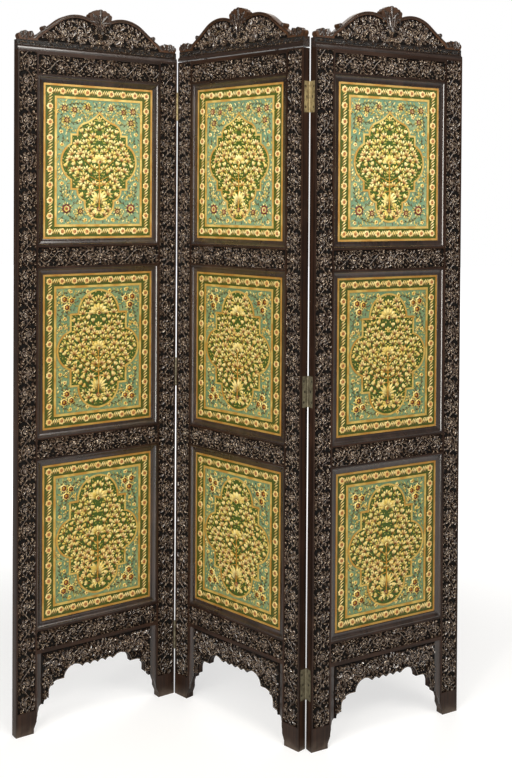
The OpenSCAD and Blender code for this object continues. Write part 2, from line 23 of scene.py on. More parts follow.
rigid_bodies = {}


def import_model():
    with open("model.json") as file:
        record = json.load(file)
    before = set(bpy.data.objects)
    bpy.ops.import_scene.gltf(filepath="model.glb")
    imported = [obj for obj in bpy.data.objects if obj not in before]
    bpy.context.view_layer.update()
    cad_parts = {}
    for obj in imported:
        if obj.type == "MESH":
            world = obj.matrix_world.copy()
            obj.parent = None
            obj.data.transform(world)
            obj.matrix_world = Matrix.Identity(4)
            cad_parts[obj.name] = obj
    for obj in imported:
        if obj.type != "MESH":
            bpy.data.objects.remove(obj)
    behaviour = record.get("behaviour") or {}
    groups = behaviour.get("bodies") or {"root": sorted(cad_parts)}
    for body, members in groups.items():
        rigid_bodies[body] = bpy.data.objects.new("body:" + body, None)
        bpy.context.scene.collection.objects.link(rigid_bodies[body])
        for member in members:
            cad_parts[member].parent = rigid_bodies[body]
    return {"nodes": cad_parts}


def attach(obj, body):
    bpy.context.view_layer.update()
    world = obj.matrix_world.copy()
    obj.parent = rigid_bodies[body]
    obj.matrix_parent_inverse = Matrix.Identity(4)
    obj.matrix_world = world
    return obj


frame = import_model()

log = logging.getLogger("screen")
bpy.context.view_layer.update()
MM = 0.001
# Painted shade: the share of colour left on the lower rows of panels, for light that falls from
# above.
LOW_ROW_SHADE = (0.79, 0.75, 0.63)
LEAF_STEP = 8.6
ROW_PITCH = 0.87
ROW_JITTER = 0.14
Point = tuple[float, float]
Triple = tuple[float, float, float]
Colour = tuple[float, float, float]


class Grain(Enum):
    """Which way the grain of a wooden part runs."""

    UPRIGHT = "upright"
    LEVEL = "level"


class Row(Enum):
    """The three rows of panels, from the floor up."""

    BOTTOM = "bottom"
    MIDDLE = "middle"
    TOP = "top"


def seen(red: int, green: int, blue: int) -> Colour:
    """Turns a colour as the eye sees it on a screen, 0 to 255, into the light that a shader wants.

    Args:
        red: The red part.
        green: The green part.
        blue: The blue part.

    Returns:
        The colour on Blender's linear scale.
    """
    parts = (part / 255 for part in (red, green, blue))
    return tuple(p / 12.92 if p <= 0.04045 else ((p + 0.055) / 1.055) ** 2.4 for p in parts)


@dataclass(frozen=True)
class Place:
    """Where one leaf of the screen stands.

    Args:
        number: 1, 2 or 3, from the left.
        turn: How far it is turned from the viewer's left-to-right line, in degrees.
        corner: Its left front edge on the floor, in metres.
        seam: The gap under its cresting, in millimetres.
    """

    number: int
    turn: float
    corner: Point
    seam: float

    @property
    def body(self) -> str:
        """The body that everything on this leaf rides on."""
        return f"leaf_{self.number}"

    def local(self) -> Matrix:
        """The matrix from the leaf's own frame in metres (x along, y back, z up) to the room."""
        spot = Matrix.Translation((*self.corner, 0.0))
        return spot @ Matrix.Rotation(math.radians(self.turn), 4, "Z")

    def lay(self, x: float, ground: float, z: float) -> Matrix:
        """The matrix that lays a flat drawing in millimetres on the leaf's front.

        Args:
            x: Where the drawing's own zero goes, from the leaf's left edge.
            ground: How far the drawing's ground lies behind the leaf's face.
            z: Where the drawing's zero goes, from the floor.

        Returns:
            The matrix from the flat drawing to the room.
        """
        up = Matrix.Rotation(math.pi / 2, 4, "X") @ Matrix.Scale(MM, 4)
        return self.local() @ Matrix.Translation((x * MM, ground * MM, z * MM)) @ up


@dataclass(frozen=True)
class Screen:
    """The sizes that all the dressing shares, in millimetres, as the solids have them."""

    leaf_w: float = 456.0
    leaf_t: float = 24.0
    frame_h: float = 1710.0
    stile_w: float = 55.0
    end_rail_h: float = 61.0
    middle_rail_h: float = 56.0
    bottom_rail_z: float = 198.0
    field_depth: float = 4.0
    border_w: float = 4.0
    foot_block_h: float = 57.0
    panel_recess: float = 9.0
    joint_gap: float = 2.0
    pin_out: float = 0.8
    turns: Triple = (35.0, -45.0, 30.0)
    seams: Triple = (0.0, 3.0, 0.0)

    @property
    def inner_w(self) -> float:
        """The clear width between the stiles."""
        return self.leaf_w - 2 * self.stile_w

    @property
    def opening_h(self) -> float:
        """The clear height of one panel's opening."""
        rails = 2 * self.end_rail_h + 2 * self.middle_rail_h
        return (self.frame_h - self.bottom_rail_z - rails) / 3

    def opening_z(self, row: Row) -> float:
        """The height of the lower edge of a row's openings."""
        step = list(Row).index(row) * (self.opening_h + self.middle_rail_h)
        return self.bottom_rail_z + self.end_rail_h + step

    def places(self) -> list[Place]:
        """Works out where the three leaves stand, from the joints between them.

        Returns:
            The places of leaves 1, 2 and 3.
        """
        along = [Vector((math.cos(math.radians(t)), math.sin(math.radians(t)))) for t in self.turns]
        behind = [Vector((-a.y, a.x)) for a in along]
        reach, half_gap = self.leaf_w + self.joint_gap, self.joint_gap / 2
        pins = reach * along[1] + (self.leaf_t + 2 * self.pin_out) * behind[1]
        corners = [
            -(self.leaf_w + half_gap) * along[0] + self.pin_out * behind[0],
            half_gap * along[1] + self.pin_out * behind[1],
            pins + half_gap * along[2] - (self.leaf_t + self.pin_out) * behind[2],
        ]
        ends = [
            corner + w * a + t * b
            for corner, a, b in zip(corners, along, behind)
            for w in (0.0, self.leaf_w)
            for t in (0.0, self.leaf_t)
        ]
        middle = Vector([(min(e[i] for e in ends) + max(e[i] for e in ends)) / 2 for i in (0, 1)])
        return [
            Place(n + 1, self.turns[n], tuple((corners[n] - middle) * MM), self.seams[n])
            for n in range(3)
        ]


class Bench:
    """The workbench: the small steps by which motifs are modelled."""

    @staticmethod
    def clear() -> None:
        """Leaves edit mode and deselects everything."""
        if bpy.context.object and bpy.context.object.mode != "OBJECT":
            bpy.ops.object.mode_set(mode="OBJECT")
        bpy.ops.object.select_all(action="DESELECT")

    @staticmethod
    def take(piece: Object) -> None:
        """Makes a piece the only selected one."""
        Bench.clear()
        bpy.context.view_layer.objects.active = piece
        piece.select_set(True)

    @staticmethod
    def open(piece: Object) -> None:
        """Takes a piece into edit mode, selecting by vertex."""
        Bench.take(piece)
        bpy.ops.object.mode_set(mode="EDIT")
        bpy.ops.mesh.select_mode(type="VERT")

    @staticmethod
    def pick(test: Callable[[BMVert], bool]) -> None:
        """Selects the vertices of the open piece that pass a test.

        Args:
            test: Tells whether a vertex is wanted.
        """
        mesh = bpy.context.object.data
        form = bmesh.from_edit_mesh(mesh)
        for vertex in form.verts:
            vertex.select = test(vertex)
        form.select_flush_mode()
        bmesh.update_edit_mesh(mesh)

    @staticmethod
    def close(piece: Object, name: str) -> Object:
        """Turns the open piece's faces outwards, smooths it and names it.

        Args:
            piece: The piece in edit mode.
            name: Its name.

        Returns:
            The same piece, out of edit mode.
        """
        bpy.ops.mesh.select_all(action="SELECT")
        bpy.ops.mesh.normals_make_consistent(inside=False)
        bpy.ops.object.mode_set(mode="OBJECT")
        bpy.ops.object.shade_smooth_by_angle(angle=math.radians(60))
        piece.name = piece.data.name = name
        return piece

    @staticmethod
    def tone(piece: Object, share: Callable[[Vector], float]) -> None:
        """Writes on each vertex how far it lies from the foot or the heart of its motif.

        Args:
            piece: The motif.
            share: Works out the distance from a vertex's place, 0 at the foot and 1 at the tip.
        """
        layer = piece.data.attributes.new("tone", "FLOAT", "POINT")
        values = [max(0.0, min(1.0, share(v.co))) for v in piece.data.vertices]
        layer.data.foreach_set("value", values)

    @staticmethod
    def shelve(piece: Object) -> Object:
        """Takes a finished motif off the scene, to be copied from later."""
        bpy.context.collection.objects.unlink(piece)
        return piece

    @staticmethod
    def empty_shelf() -> None:
        """Throws away the motifs that are on no scene any more."""
        for piece in [p for p in bpy.data.objects if not p.users_collection]:
            bpy.data.objects.remove(piece)

    @staticmethod
    def outwards(piece: Object) -> None:
        """Turns all faces of a piece outwards."""
        Bench.open(piece)
        bpy.ops.mesh.select_all(action="SELECT")
        bpy.ops.mesh.normals_make_consistent(inside=False)
        bpy.ops.object.mode_set(mode="OBJECT")

    @staticmethod
    def apply(piece: Object, kind: str, **settings: object) -> None:
        """Adds a modifier with its settings and applies it.

        Args:
            piece: The piece to change.
            kind: Blender's name of the modifier's type.
            **settings: The modifier's values.
        """
        Bench.take(piece)
        modifier = piece.modifiers.new(kind.title(), kind)
        for name, value in settings.items():
            setattr(modifier, name, value)
        bpy.ops.object.modifier_apply(modifier=modifier.name)

    @staticmethod
    def mirrored(piece: Object, name: str) -> Object:
        """Copies a flat drawing as its mirror image, left for right.

        Args:
            piece: The drawing.
            name: The copy's name.

        Returns:
            The mirrored copy, its faces outwards.
        """
        twin = piece.copy()
        twin.data = piece.data.copy()
        twin.name = twin.data.name = name
        bpy.context.collection.objects.link(twin)
        twin.data.transform(Matrix.Scale(-1, 4, (1, 0, 0)))
        Bench.outwards(twin)
        return twin

    @staticmethod
    def lay(drawing: Object, name: str, body: str, slot: str, where: Matrix) -> Object:
        """Copies a flat drawing to its place on a leaf of the screen.

        Args:
            drawing: The flat drawing.
            name: The new piece's name.
            body: The body that it rides on.
            slot: The name of a record's slot, which is not used.
            where: The matrix from the drawing to the room.

        Returns:
            The piece.
        """
        piece = drawing.copy()
        piece.data = drawing.data.copy()
        piece.name = piece.data.name = name
        bpy.context.collection.objects.link(piece)
        piece.data.transform(where)
        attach(piece, body)
        log.info("%s: %d faces", name, len(piece.data.polygons))
        return piece


class Shader:
    """A node material in the making."""

    def __init__(self, name: str) -> None:
        """Starts a material with a principled shader.

        Args:
            name: The material's name.
        """
        self.material: Material = bpy.data.materials.new(name)
        self.material.use_nodes = True
        self.tree = self.material.node_tree
        self.skin: Node = self.tree.nodes["Principled BSDF"]

    def add(self, kind: str, **settings: object) -> Node:
        """Adds a node of a kind, with its settings.

        Args:
            kind: The node type's name without its ShaderNode prefix.
            **settings: The node's own values.

        Returns:
            The node.
        """
        node = self.tree.nodes.new(f"ShaderNode{kind}")
        for name, value in settings.items():
            setattr(node, name, value)
        return node

    def feed(self, socket: NodeSocket, value: object) -> None:
        """Links a socket to another, or sets its value.

        Args:
            socket: The input.
            value: A socket to link, a number or a colour.
        """
        if isinstance(value, NodeSocket):
            self.tree.links.new(value, socket)
        elif isinstance(value, tuple) and len(socket.default_value) == 4:
            socket.default_value = (*value, 1.0)
        else:
            socket.default_value = value

    def sum(self, operation: str, *values: object, clamp: bool = False) -> NodeSocket:
        """Adds a Math node.

        Args:
            operation: Blender's name of the operation.
            *values: Its inputs, as numbers or sockets.
            clamp: Whether the result is kept between 0 and 1.

        Returns:
            The result.
        """
        node = self.add("Math", operation=operation, use_clamp=clamp)
        for socket, value in zip(node.inputs, values):
            self.feed(socket, value)
        return node.outputs[0]

    def reach(self, x: NodeSocket, y: NodeSocket) -> NodeSocket:
        """The distance of a point in a plane from zero."""
        squares = (self.sum("POWER", part, 2.0) for part in (x, y))
        return self.sum("SQRT", self.sum("ADD", *squares))

    def ease(self, value: object, low: float, high: float) -> NodeSocket:
        """Maps a value smoothly from a range to 0 to 1.

        Args:
            value: The value.
            low: What becomes 0.
            high: What becomes 1.

        Returns:
            The mapped value.
        """
        node = self.add("MapRange", interpolation_type="SMOOTHSTEP")
        for name, number in (("Value", value), ("From Min", low), ("From Max", high)):
            self.feed(node.inputs[name], number)
        return node.outputs[0]

    def mix(self, share: object, under: object, over: object, how: str = "MIX") -> NodeSocket:
        """Mixes two colours.

        Args:
            share: How much of the second one.
            under: The first colour.
            over: The second colour.
            how: The blend type.

        Returns:
            The mixed colour.
        """
        node = self.add("Mix", data_type="RGBA", blend_type=how)
        for place, value in ((0, share), (6, under), (7, over)):
            self.feed(node.inputs[place], value)
        return node.outputs[2]

    def room(self) -> NodeSocket:
        """The piece's own Object coordinates."""
        return self.add("TexCoord").outputs["Object"]

    def on_leaf(self, place: Place, x: float = 0.0, z: float = 0.0) -> NodeSocket:
        """Coordinates in a leaf's own frame, in metres.

        Args:
            place: Where the leaf stands.
            x: The zero along the leaf, in millimetres from its left edge.
            z: The zero upwards, in millimetres from the floor.

        Returns:
            The coordinates: x along the leaf, y behind its face, z up.
        """
        node = self.add("Mapping", vector_type="POINT")
        away = (place.local() @ Matrix.Translation((x * MM, 0, z * MM))).inverted()
        self.feed(node.inputs["Vector"], self.room())
        node.inputs["Location"].default_value = away.translation
        node.inputs["Rotation"].default_value = Euler((0, 0, -math.radians(place.turn)))
        return node.outputs[0]

    def stretched(self, spot: NodeSocket, scale: Triple) -> NodeSocket:
        """Stretches coordinates.

        Args:
            spot: The coordinates.
            scale: The factor on each axis.

        Returns:
            The stretched coordinates.
        """
        node = self.add("Mapping", vector_type="POINT")
        self.feed(node.inputs["Vector"], spot)
        node.inputs["Scale"].default_value = scale
        return node.outputs[0]

    def noise(self, spot: NodeSocket, scale: float, detail: float = 3.0) -> NodeSocket:
        """Adds a noise texture.

        Args:
            spot: The coordinates.
            scale: How many features there are in a metre.
            detail: How many finer layers it has.

        Returns:
            The noise, about 0.3 to 0.7.
        """
        node = self.add("TexNoise")
        self.feed(node.inputs["Vector"], spot)
        node.inputs["Scale"].default_value = scale
        node.inputs["Detail"].default_value = detail
        return node.outputs[0]

    def parts(self, spot: NodeSocket) -> tuple[NodeSocket, NodeSocket, NodeSocket]:
        """Splits coordinates into x, y and z."""
        node = self.add("SeparateXYZ")
        self.feed(node.inputs[0], spot)
        return tuple(node.outputs)

    def lift(self) -> NodeSocket:
        """The height of a drawing's surface above its ground, in millimetres."""
        return self.add("Attribute", attribute_name="lift").outputs["Fac"]

    def tone(self) -> NodeSocket:
        """How far the surface lies from the foot or heart of its motif, 0 to 1."""
        return self.add("Attribute", attribute_name="tone").outputs["Fac"]

    def darker_below(self, colour: NodeSocket, low: float, high: float, tint: Colour) -> NodeSocket:
        """Darkens a colour below a height; on the panels this is painted shade for light from
        above.

        Args:
            colour: The colour.
            low: The height below which it is darkest, in metres.
            high: The height from which it stays as it is.
            tint: The share of red, green and blue that is left of it at the bottom.

        Returns:
            The colour.
        """
        height = self.parts(self.room())[2]
        shade = self.mix(self.ease(height, low, high), tint, (1.0, 1.0, 1.0))
        return self.mix(1.0, colour, shade, "MULTIPLY")

    def bump(self, height: NodeSocket, strength: float, depth: float) -> None:
        """Roughens the surface.

        Args:
            height: The pattern.
            strength: How strongly it shows.
            depth: How deep it is, in metres.
        """
        node = self.add("Bump")
        node.inputs["Strength"].default_value = strength
        node.inputs["Distance"].default_value = depth
        self.feed(node.inputs["Height"], height)
        self.feed(self.skin.inputs["Normal"], node.outputs[0])

    def done(self, colour: object, roughness: object, metallic: object = 0.0) -> Material:
        """Finishes the material.

        Args:
            colour: The base colour.
            roughness: The roughness.
            metallic: How metallic it is.

        Returns:
            The material.
        """
        self.feed(self.skin.inputs["Base Color"], colour)
        self.feed(self.skin.inputs["Roughness"], roughness)
        self.feed(self.skin.inputs["Metallic"], metallic)
        return self.material


@dataclass(frozen=True)
class Timber:
    """Near-black hardwood with an old wax polish."""

    name: str
    body: Colour
    streak: Colour
    # Colour of dirt and painted shade in the recesses of the carving.
    dirt_and_shade: Colour = seen(9, 6, 4)
    gloss: float = 0.32
    wear_h: float = 34.0
    varnish: float = 0.0

    def plain(self, place: Place, grain: Grain, sunk: tuple[float, float]) -> Material:
        """Makes the finish of a sawn and polished part.

        Args:
            place: Where its leaf stands.
            grain: Which way its grain runs.
            sunk: The depths behind the leaf's face, in millimetres, between which a carved ground
            lies, which is dark with old dirt and painted shade.

        Returns:
            The material.
        """
        shader = Shader(f"{self.name}_{grain.value}_{place.number}_{sunk[0]:g}")
        spot = shader.on_leaf(place)
        long, fine = (4.0, 150.0) if grain is Grain.UPRIGHT else (150.0, 4.0)
        fibres = shader.noise(shader.stretched(spot, (fine, 110.0, long)), 1.0, 6.0)
        cloud = shader.noise(spot, 11.0, 4.0)
        colour = shader.mix(shader.ease(fibres, 0.35, 0.7), self.body, self.streak)
        rubbed = shader.sum("MULTIPLY", shader.ease(cloud, 0.5, 0.72), 0.45)
        colour = shader.mix(rubbed, colour, tuple(1.7 * c for c in self.streak))
        _, depth, height = shader.parts(spot)
        foot = shader.sum("SUBTRACT", 1.0, shader.ease(height, 0.0, self.wear_h * MM))
        foot = shader.sum("MULTIPLY", foot, shader.ease(cloud, 0.36, 0.6))
        colour = shader.mix(shader.sum("MULTIPLY", foot, 0.7), colour, seen(132, 118, 104))
        # Dirt and painted shade: the sunk ground of a carved field is painted near black.
        inside = shader.sum("GREATER_THAN", depth, sunk[0] * MM)
        shallow = shader.sum("LESS_THAN", depth, sunk[1] * MM)
        ground = shader.sum("MULTIPLY", inside, shallow)
        colour = shader.mix(ground, colour, self.dirt_and_shade)
        rough = shader.sum("MULTIPLY_ADD", cloud, 0.35, self.gloss - 0.14)
        rough = shader.sum("MULTIPLY_ADD", ground, 0.6, rough, clamp=True)
        shader.skin.inputs["Specular IOR Level"].default_value = 0.3 + 0.5 * self.varnish
        shader.skin.inputs["Coat Weight"].default_value = self.varnish
        shader.skin.inputs["Coat Roughness"].default_value = 0.12
        shader.bump(fibres, 0.25, 0.0004)
        return shader.done(colour, rough)

    def carved(self) -> Material:
        """Makes the finish of carving: dirt and painted shade in the depths, worn and glossy high
        spots, painted highlights and glints.
        """
        shader = Shader(f"{self.name}_carved")
        spot = shader.room()
        lift = shader.lift()
        cloud = shader.noise(spot, 14.0, 4.0)
        specks = shader.noise(spot, 420.0, 3.0)
        # Dirt and painted shade: the relief is darkest at its ground and lightens with height.
        colour = shader.mix(shader.ease(lift, 0.1, 1.7), self.dirt_and_shade, self.body)
        tips = shader.sum("MULTIPLY_ADD", shader.ease(shader.tone(), 0.05, 0.6), 0.6, 0.4)
        # Wear and painted highlight: the high spots take a lighter streak colour.
        high = shader.sum("MULTIPLY", shader.ease(lift, 1.6, 3.0), tips)
        wear_and_highlight = shader.sum("MULTIPLY", high, shader.ease(cloud, 0.36, 0.66))
        colour = shader.mix(shader.sum("MULTIPLY", wear_and_highlight, 0.75), colour, self.streak)
        # Painted glints: near-white specks on the highest spots of the relief.
        painted_glint = shader.sum("MULTIPLY", shader.ease(lift, 2.0, 2.9), shader.ease(specks, 0.54, 0.6))
        painted_glint = shader.sum("MULTIPLY", painted_glint, tips)
        colour = shader.mix(painted_glint, colour, seen(240, 216, 186))
        # Darker towards the bottom.
        colour = shader.darker_below(colour, 0.1, 0.45, (0.72, 0.7, 0.68))
        rough = shader.sum("MULTIPLY_ADD", cloud, 0.25, self.gloss - 0.17)
        shader.skin.inputs["Coat Weight"].default_value = 0.9
        shader.skin.inputs["Coat Roughness"].default_value = 0.07
        shader.bump(specks, 0.3, 0.0005)
        return shader.done(colour, rough)


@dataclass(frozen=True)
class Paint:
    """Old oil paint or bronze paint on gesso, with dirt and painted shade where the relief meets
    the ground.
    """

    name: str
    body: Colour
    other: Colour
    foot: Colour
    # Colour of dirt and painted shade where the relief meets the ground.
    dirt_and_shade: Colour = seen(58, 46, 6)
    dirt_and_shade_top: float = 0.6
    metal: float = 0.0
    rough: float = 0.42

    def coat(self) -> Material:
        """Makes the finish of a relief in this paint."""
        shader = Shader(self.name)
        spot = shader.room()
        patches = shader.noise(spot, 85.0, 2.0)
        specks = shader.noise(spot, 520.0, 3.0)
        colour = shader.mix(shader.ease(patches, 0.38, 0.62), self.body, self.other)
        colour = shader.mix(shader.ease(shader.tone(), 0.04, 0.66), self.foot, colour)
        shade = shader.sum("MULTIPLY_ADD", specks, 0.5, 0.75)
        colour = shader.mix(1.0, colour, shade, "MULTIPLY")
        # Dirt and painted shade: darkest where the relief meets the ground.
        colour = shader.mix(shader.ease(shader.lift(), -0.25, self.dirt_and_shade_top), self.dirt_and_shade, colour)
        # Painted shade: darker on the lower rows, for light that falls from above.
        colour = shader.darker_below(colour, 1.15, 1.26, LOW_ROW_SHADE)
        rough = shader.sum("MULTIPLY_ADD", specks, 0.3, self.rough - 0.15)
        shader.bump(specks, 0.35, 0.0004)
        return shader.done(colour, rough, self.metal)


@dataclass(frozen=True)
class PanelGround:
    """A panel's painted board: green border, teal field, dark green medallion, gilt fillets."""

    border: Colour = seen(74, 88, 18)
    field: Colour = seen(116, 150, 118)
    field_pale: Colour = seen(150, 170, 128)
    inside: Colour = seen(70, 96, 26)
    gilt: Colour = seen(236, 210, 124)
    gilt_warm: Colour = seen(208, 160, 76)
    gilt_rim: Colour = seen(186, 132, 64)
    bare: Colour = seen(74, 52, 36)

    def coat(self, place: Place, row: Row, panel: "PanelRelief") -> Material:
        """Makes the finish of one panel's board.

        Args:
            place: Where its leaf stands.
            row: The panel's row.
            panel: The panel's relief, for its sizes.

        Returns:
            The material.
        """
        shader = Shader(f"panel_ground_{place.number}_{row.value}")
        middle_z = SCREEN.opening_z(row) + SCREEN.opening_h / 2
        spot = shader.on_leaf(place, SCREEN.leaf_w / 2, middle_z)
        x, depth, z = shader.parts(spot)
        side = shader.sum("ABSOLUTE", x)
        edge = shader.sum(
            "MAXIMUM",
            shader.sum("SUBTRACT", side, (panel.field_half_w + 3) * MM),
            shader.sum("SUBTRACT", shader.sum("ABSOLUTE", z), (panel.field_half_h + 3) * MM),
        )
        outside = shader.sum("GREATER_THAN", edge, 0.0)
        cloud = shader.noise(spot, 26.0, 5.0)
        specks = shader.noise(spot, 330.0, 4.0)
        teal = shader.mix(shader.ease(cloud, 0.4, 0.66), self.field, self.field_pale)
        medallion = shader.sum("LESS_THAN", self.outline(shader, side, z, row, panel), -0.003)
        colour = shader.mix(medallion, teal, self.inside)
        colour = shader.mix(outside, colour, self.border)
        old = shader.sum("MULTIPLY", shader.ease(specks, 0.5, 0.66), 0.35)
        colour = shader.mix(old, colour, seen(56, 48, 14))
        raised = shader.sum("LESS_THAN", depth, (SCREEN.panel_recess - 0.25) * MM)
        gold = shader.mix(shader.ease(cloud, 0.38, 0.62), self.gilt, self.gilt_warm)
        rim = shader.sum("MULTIPLY", shader.sum("GREATER_THAN", edge, 12 * MM), 0.6)
        gold = shader.mix(rim, gold, self.gilt_rim)
        # Painted shade: the gilt turns dark brown at the foot of the fillets.
        low = shader.ease(depth, (SCREEN.panel_recess - 1.2) * MM, (SCREEN.panel_recess - 0.2) * MM)
        gold = shader.mix(low, gold, seen(112, 78, 24))
        colour = shader.mix(raised, colour, gold)
        back = shader.sum("GREATER_THAN", depth, (SCREEN.panel_recess + 0.5) * MM)
        colour = shader.mix(back, colour, self.bare)
        # Painted shade: darker on the lower rows, for light that falls from above.
        colour = shader.darker_below(colour, 1.15, 1.26, LOW_ROW_SHADE)
        metal = shader.sum("MULTIPLY", raised, 0.35)
        rough = shader.sum("MULTIPLY_ADD", specks, 0.3, 0.34)
        shader.bump(specks, 0.35, 0.0005)
        return shader.done(colour, rough, metal)

    def outline(
        self, shader: Shader, side: NodeSocket, z: NodeSocket, row: Row, panel: "PanelRelief"
    ) -> NodeSocket:
        """Works out how far a point lies outside the medallion.

        Args:
            shader: The material in the making.
            side: The distance from the panel's middle line.
            z: The height above the panel's middle.
            row: The panel's row.
            panel: The panel's relief, for its sizes.

        Returns:
            The distance in metres, negative inside.
        """
        nearest: NodeSocket | None = None
        for form in panel.forms(row):
            dx = shader.sum("SUBTRACT", side, form.x * MM)
            dz = shader.sum("SUBTRACT", z, form.z * MM)
            if isinstance(form, Block):
                across = shader.sum("SUBTRACT", shader.sum("ABSOLUTE", dx), form.half_w * MM)
                upward = shader.sum("SUBTRACT", shader.sum("ABSOLUTE", dz), form.half_h * MM)
                gap = shader.sum("MAXIMUM", across, upward)
            else:
                gap = shader.sum("SUBTRACT", shader.reach(dx, dz), form.radius * MM)
            if isinstance(form, Hollow):
                gap = shader.sum("MULTIPLY", gap, -1.0)
                gap = shader.sum("MAXIMUM", gap, shader.sum("SUBTRACT", side, form.half_w * MM))
                gap = shader.sum("MAXIMUM", gap, shader.sum("MULTIPLY", z, -1.0))
            nearest = gap if nearest is None else shader.sum("MINIMUM", nearest, gap)
        return nearest


@dataclass(frozen=True)
class Metal:
    """Old hinge metal, dulled by handling."""

    name: str
    body: Colour
    stain: Colour
    rough: float = 0.42
    metal: float = 0.85

    def coat(self) -> Material:
        """Makes the finish."""
        shader = Shader(self.name)
        spot = shader.room()
        cloud = shader.noise(spot, 120.0, 5.0)
        specks = shader.noise(spot, 900.0, 3.0)
        colour = shader.mix(shader.ease(cloud, 0.42, 0.66), self.body, self.stain)
        # Darker towards the bottom.
        colour = shader.darker_below(colour, 1.1, 1.4, (0.54, 0.6, 0.76))
        rough = shader.sum("MULTIPLY_ADD", cloud, 0.4, self.rough - 0.2)
        shader.bump(specks, 0.3, 0.0003)
        return shader.done(colour, rough, self.metal)


@dataclass(frozen=True)
class Disc:
    """A round part of a flat region."""

    x: float
    z: float
    radius: float

    def gap(self, x: float, z: float) -> float:
        """The distance of a point outside the disc, negative inside."""
        return math.hypot(x - self.x, z - self.z) - self.radius

    def top(self, x: float, grow: float) -> float:
        """The height of its upper edge over a place, when it is drawn larger by an amount."""
        reach = (self.radius + grow) ** 2 - (x - self.x) ** 2
        return self.z + math.sqrt(reach) if reach > 0 else 0.0


@dataclass(frozen=True)
class Block:
    """A rectangular part of a flat region."""

    x: float
    z: float
    half_w: float
    half_h: float

    def gap(self, x: float, z: float) -> float:
        """The distance of a point outside the block, negative inside."""
        dx, dz = abs(x - self.x) - self.half_w, abs(z - self.z) - self.half_h
        return math.hypot(max(dx, 0), max(dz, 0)) + min(max(dx, dz), 0)

    def top(self, x: float, grow: float) -> float:
        """The height of its upper edge over a place, when it is drawn larger by an amount."""
        over = abs(x - self.x) < self.half_w + grow
        return self.z + self.half_h + grow if over else 0.0


@dataclass(frozen=True)
class Hollow:
    """The part of a flat region under a hollow curve that rises to the middle line.

    Args:
        x: The curve's middle.
        z: The same, upwards.
        radius: The curve's radius.
        half_w: Where the curve starts.
    """

    x: float
    z: float
    radius: float
    half_w: float

    def gap(self, x: float, z: float) -> float:
        """The distance of a point outside the part, negative inside."""
        under = self.radius - math.hypot(x - self.x, z - self.z)
        return max(under, abs(x) - self.half_w, -z)


@dataclass
class Blade:
    """A leaf or petal with puffed sides and a groove, from its foot at zero along +Y.

    Args:
        name: What it is called.
        length: Its length.
        width: Its greatest width.
        rise: Its height.
        rows: For each cross row, its share of the length, of the width and of the height.
        sway: How far the tip swings to the right, as a share of the length.
        columns: Strips across it, 2 for a plain ridge and 4 for puffed sides with a groove.
        lean: How far the lobes' ends lean forward, as a share of the length.
        sink: How far its edge goes into the ground.
    """

    name: str
    length: float
    width: float
    rise: float
    rows: Sequence[Triple]
    sway: float = 0.0
    columns: int = 4
    lean: float = 0.0
    sink: float = 0.35

    def model(self, coat: Material) -> Object:
        """Models the blade.

        Args:
            coat: Its finish.

        Returns:
            The blade's object.
        """
        Bench.clear()
        steps = len(self.rows) - 1
        bpy.ops.mesh.primitive_grid_add(x_subdivisions=self.columns, y_subdivisions=steps, size=1)
        piece = bpy.context.object
        lines = [
            sorted(
                (v.index for v in piece.data.vertices if abs(v.co.y + 0.5 - i / steps) < 0.01),
                key=lambda index: piece.data.vertices[index].co.x,
            )
            for i in range(steps + 1)
        ]
        heights = [-self.sink, self.rise, -self.sink]
        if self.columns == 4:
            heights = [-self.sink, self.rise, 0.45 * self.rise, self.rise, -self.sink]
        Bench.open(piece)
        for i, (line, (share, wide, high)) in enumerate(zip(lines, self.rows)):
            y = i / steps - 0.5
            Bench.pick(lambda v, line=line: v.index in line)
            bpy.ops.transform.resize(value=(wide * self.width, 1, 1), center_override=(0, y, 0))
            swing = self.sway * share**2 * self.length
            bpy.ops.transform.translate(value=(swing, share * self.length - y, 0))
            for column, height in enumerate(heights):
                Bench.pick(lambda v, index=line[column]: v.index == index)
                lobe = column in (0, self.columns) and wide > 0.62
                lean = self.lean * self.length if lobe else 0.0
                lift = height * high if height > 0 else height
                bpy.ops.transform.translate(value=(0, lean, lift))
        bpy.ops.mesh.select_all(action="DESELECT")
        bpy.ops.mesh.select_non_manifold()
        bpy.ops.mesh.edge_face_add()
        piece.data.materials.append(coat)
        Bench.close(piece, self.name)
        Bench.tone(piece, lambda co: co.y / self.length)
        return Bench.shelve(piece)


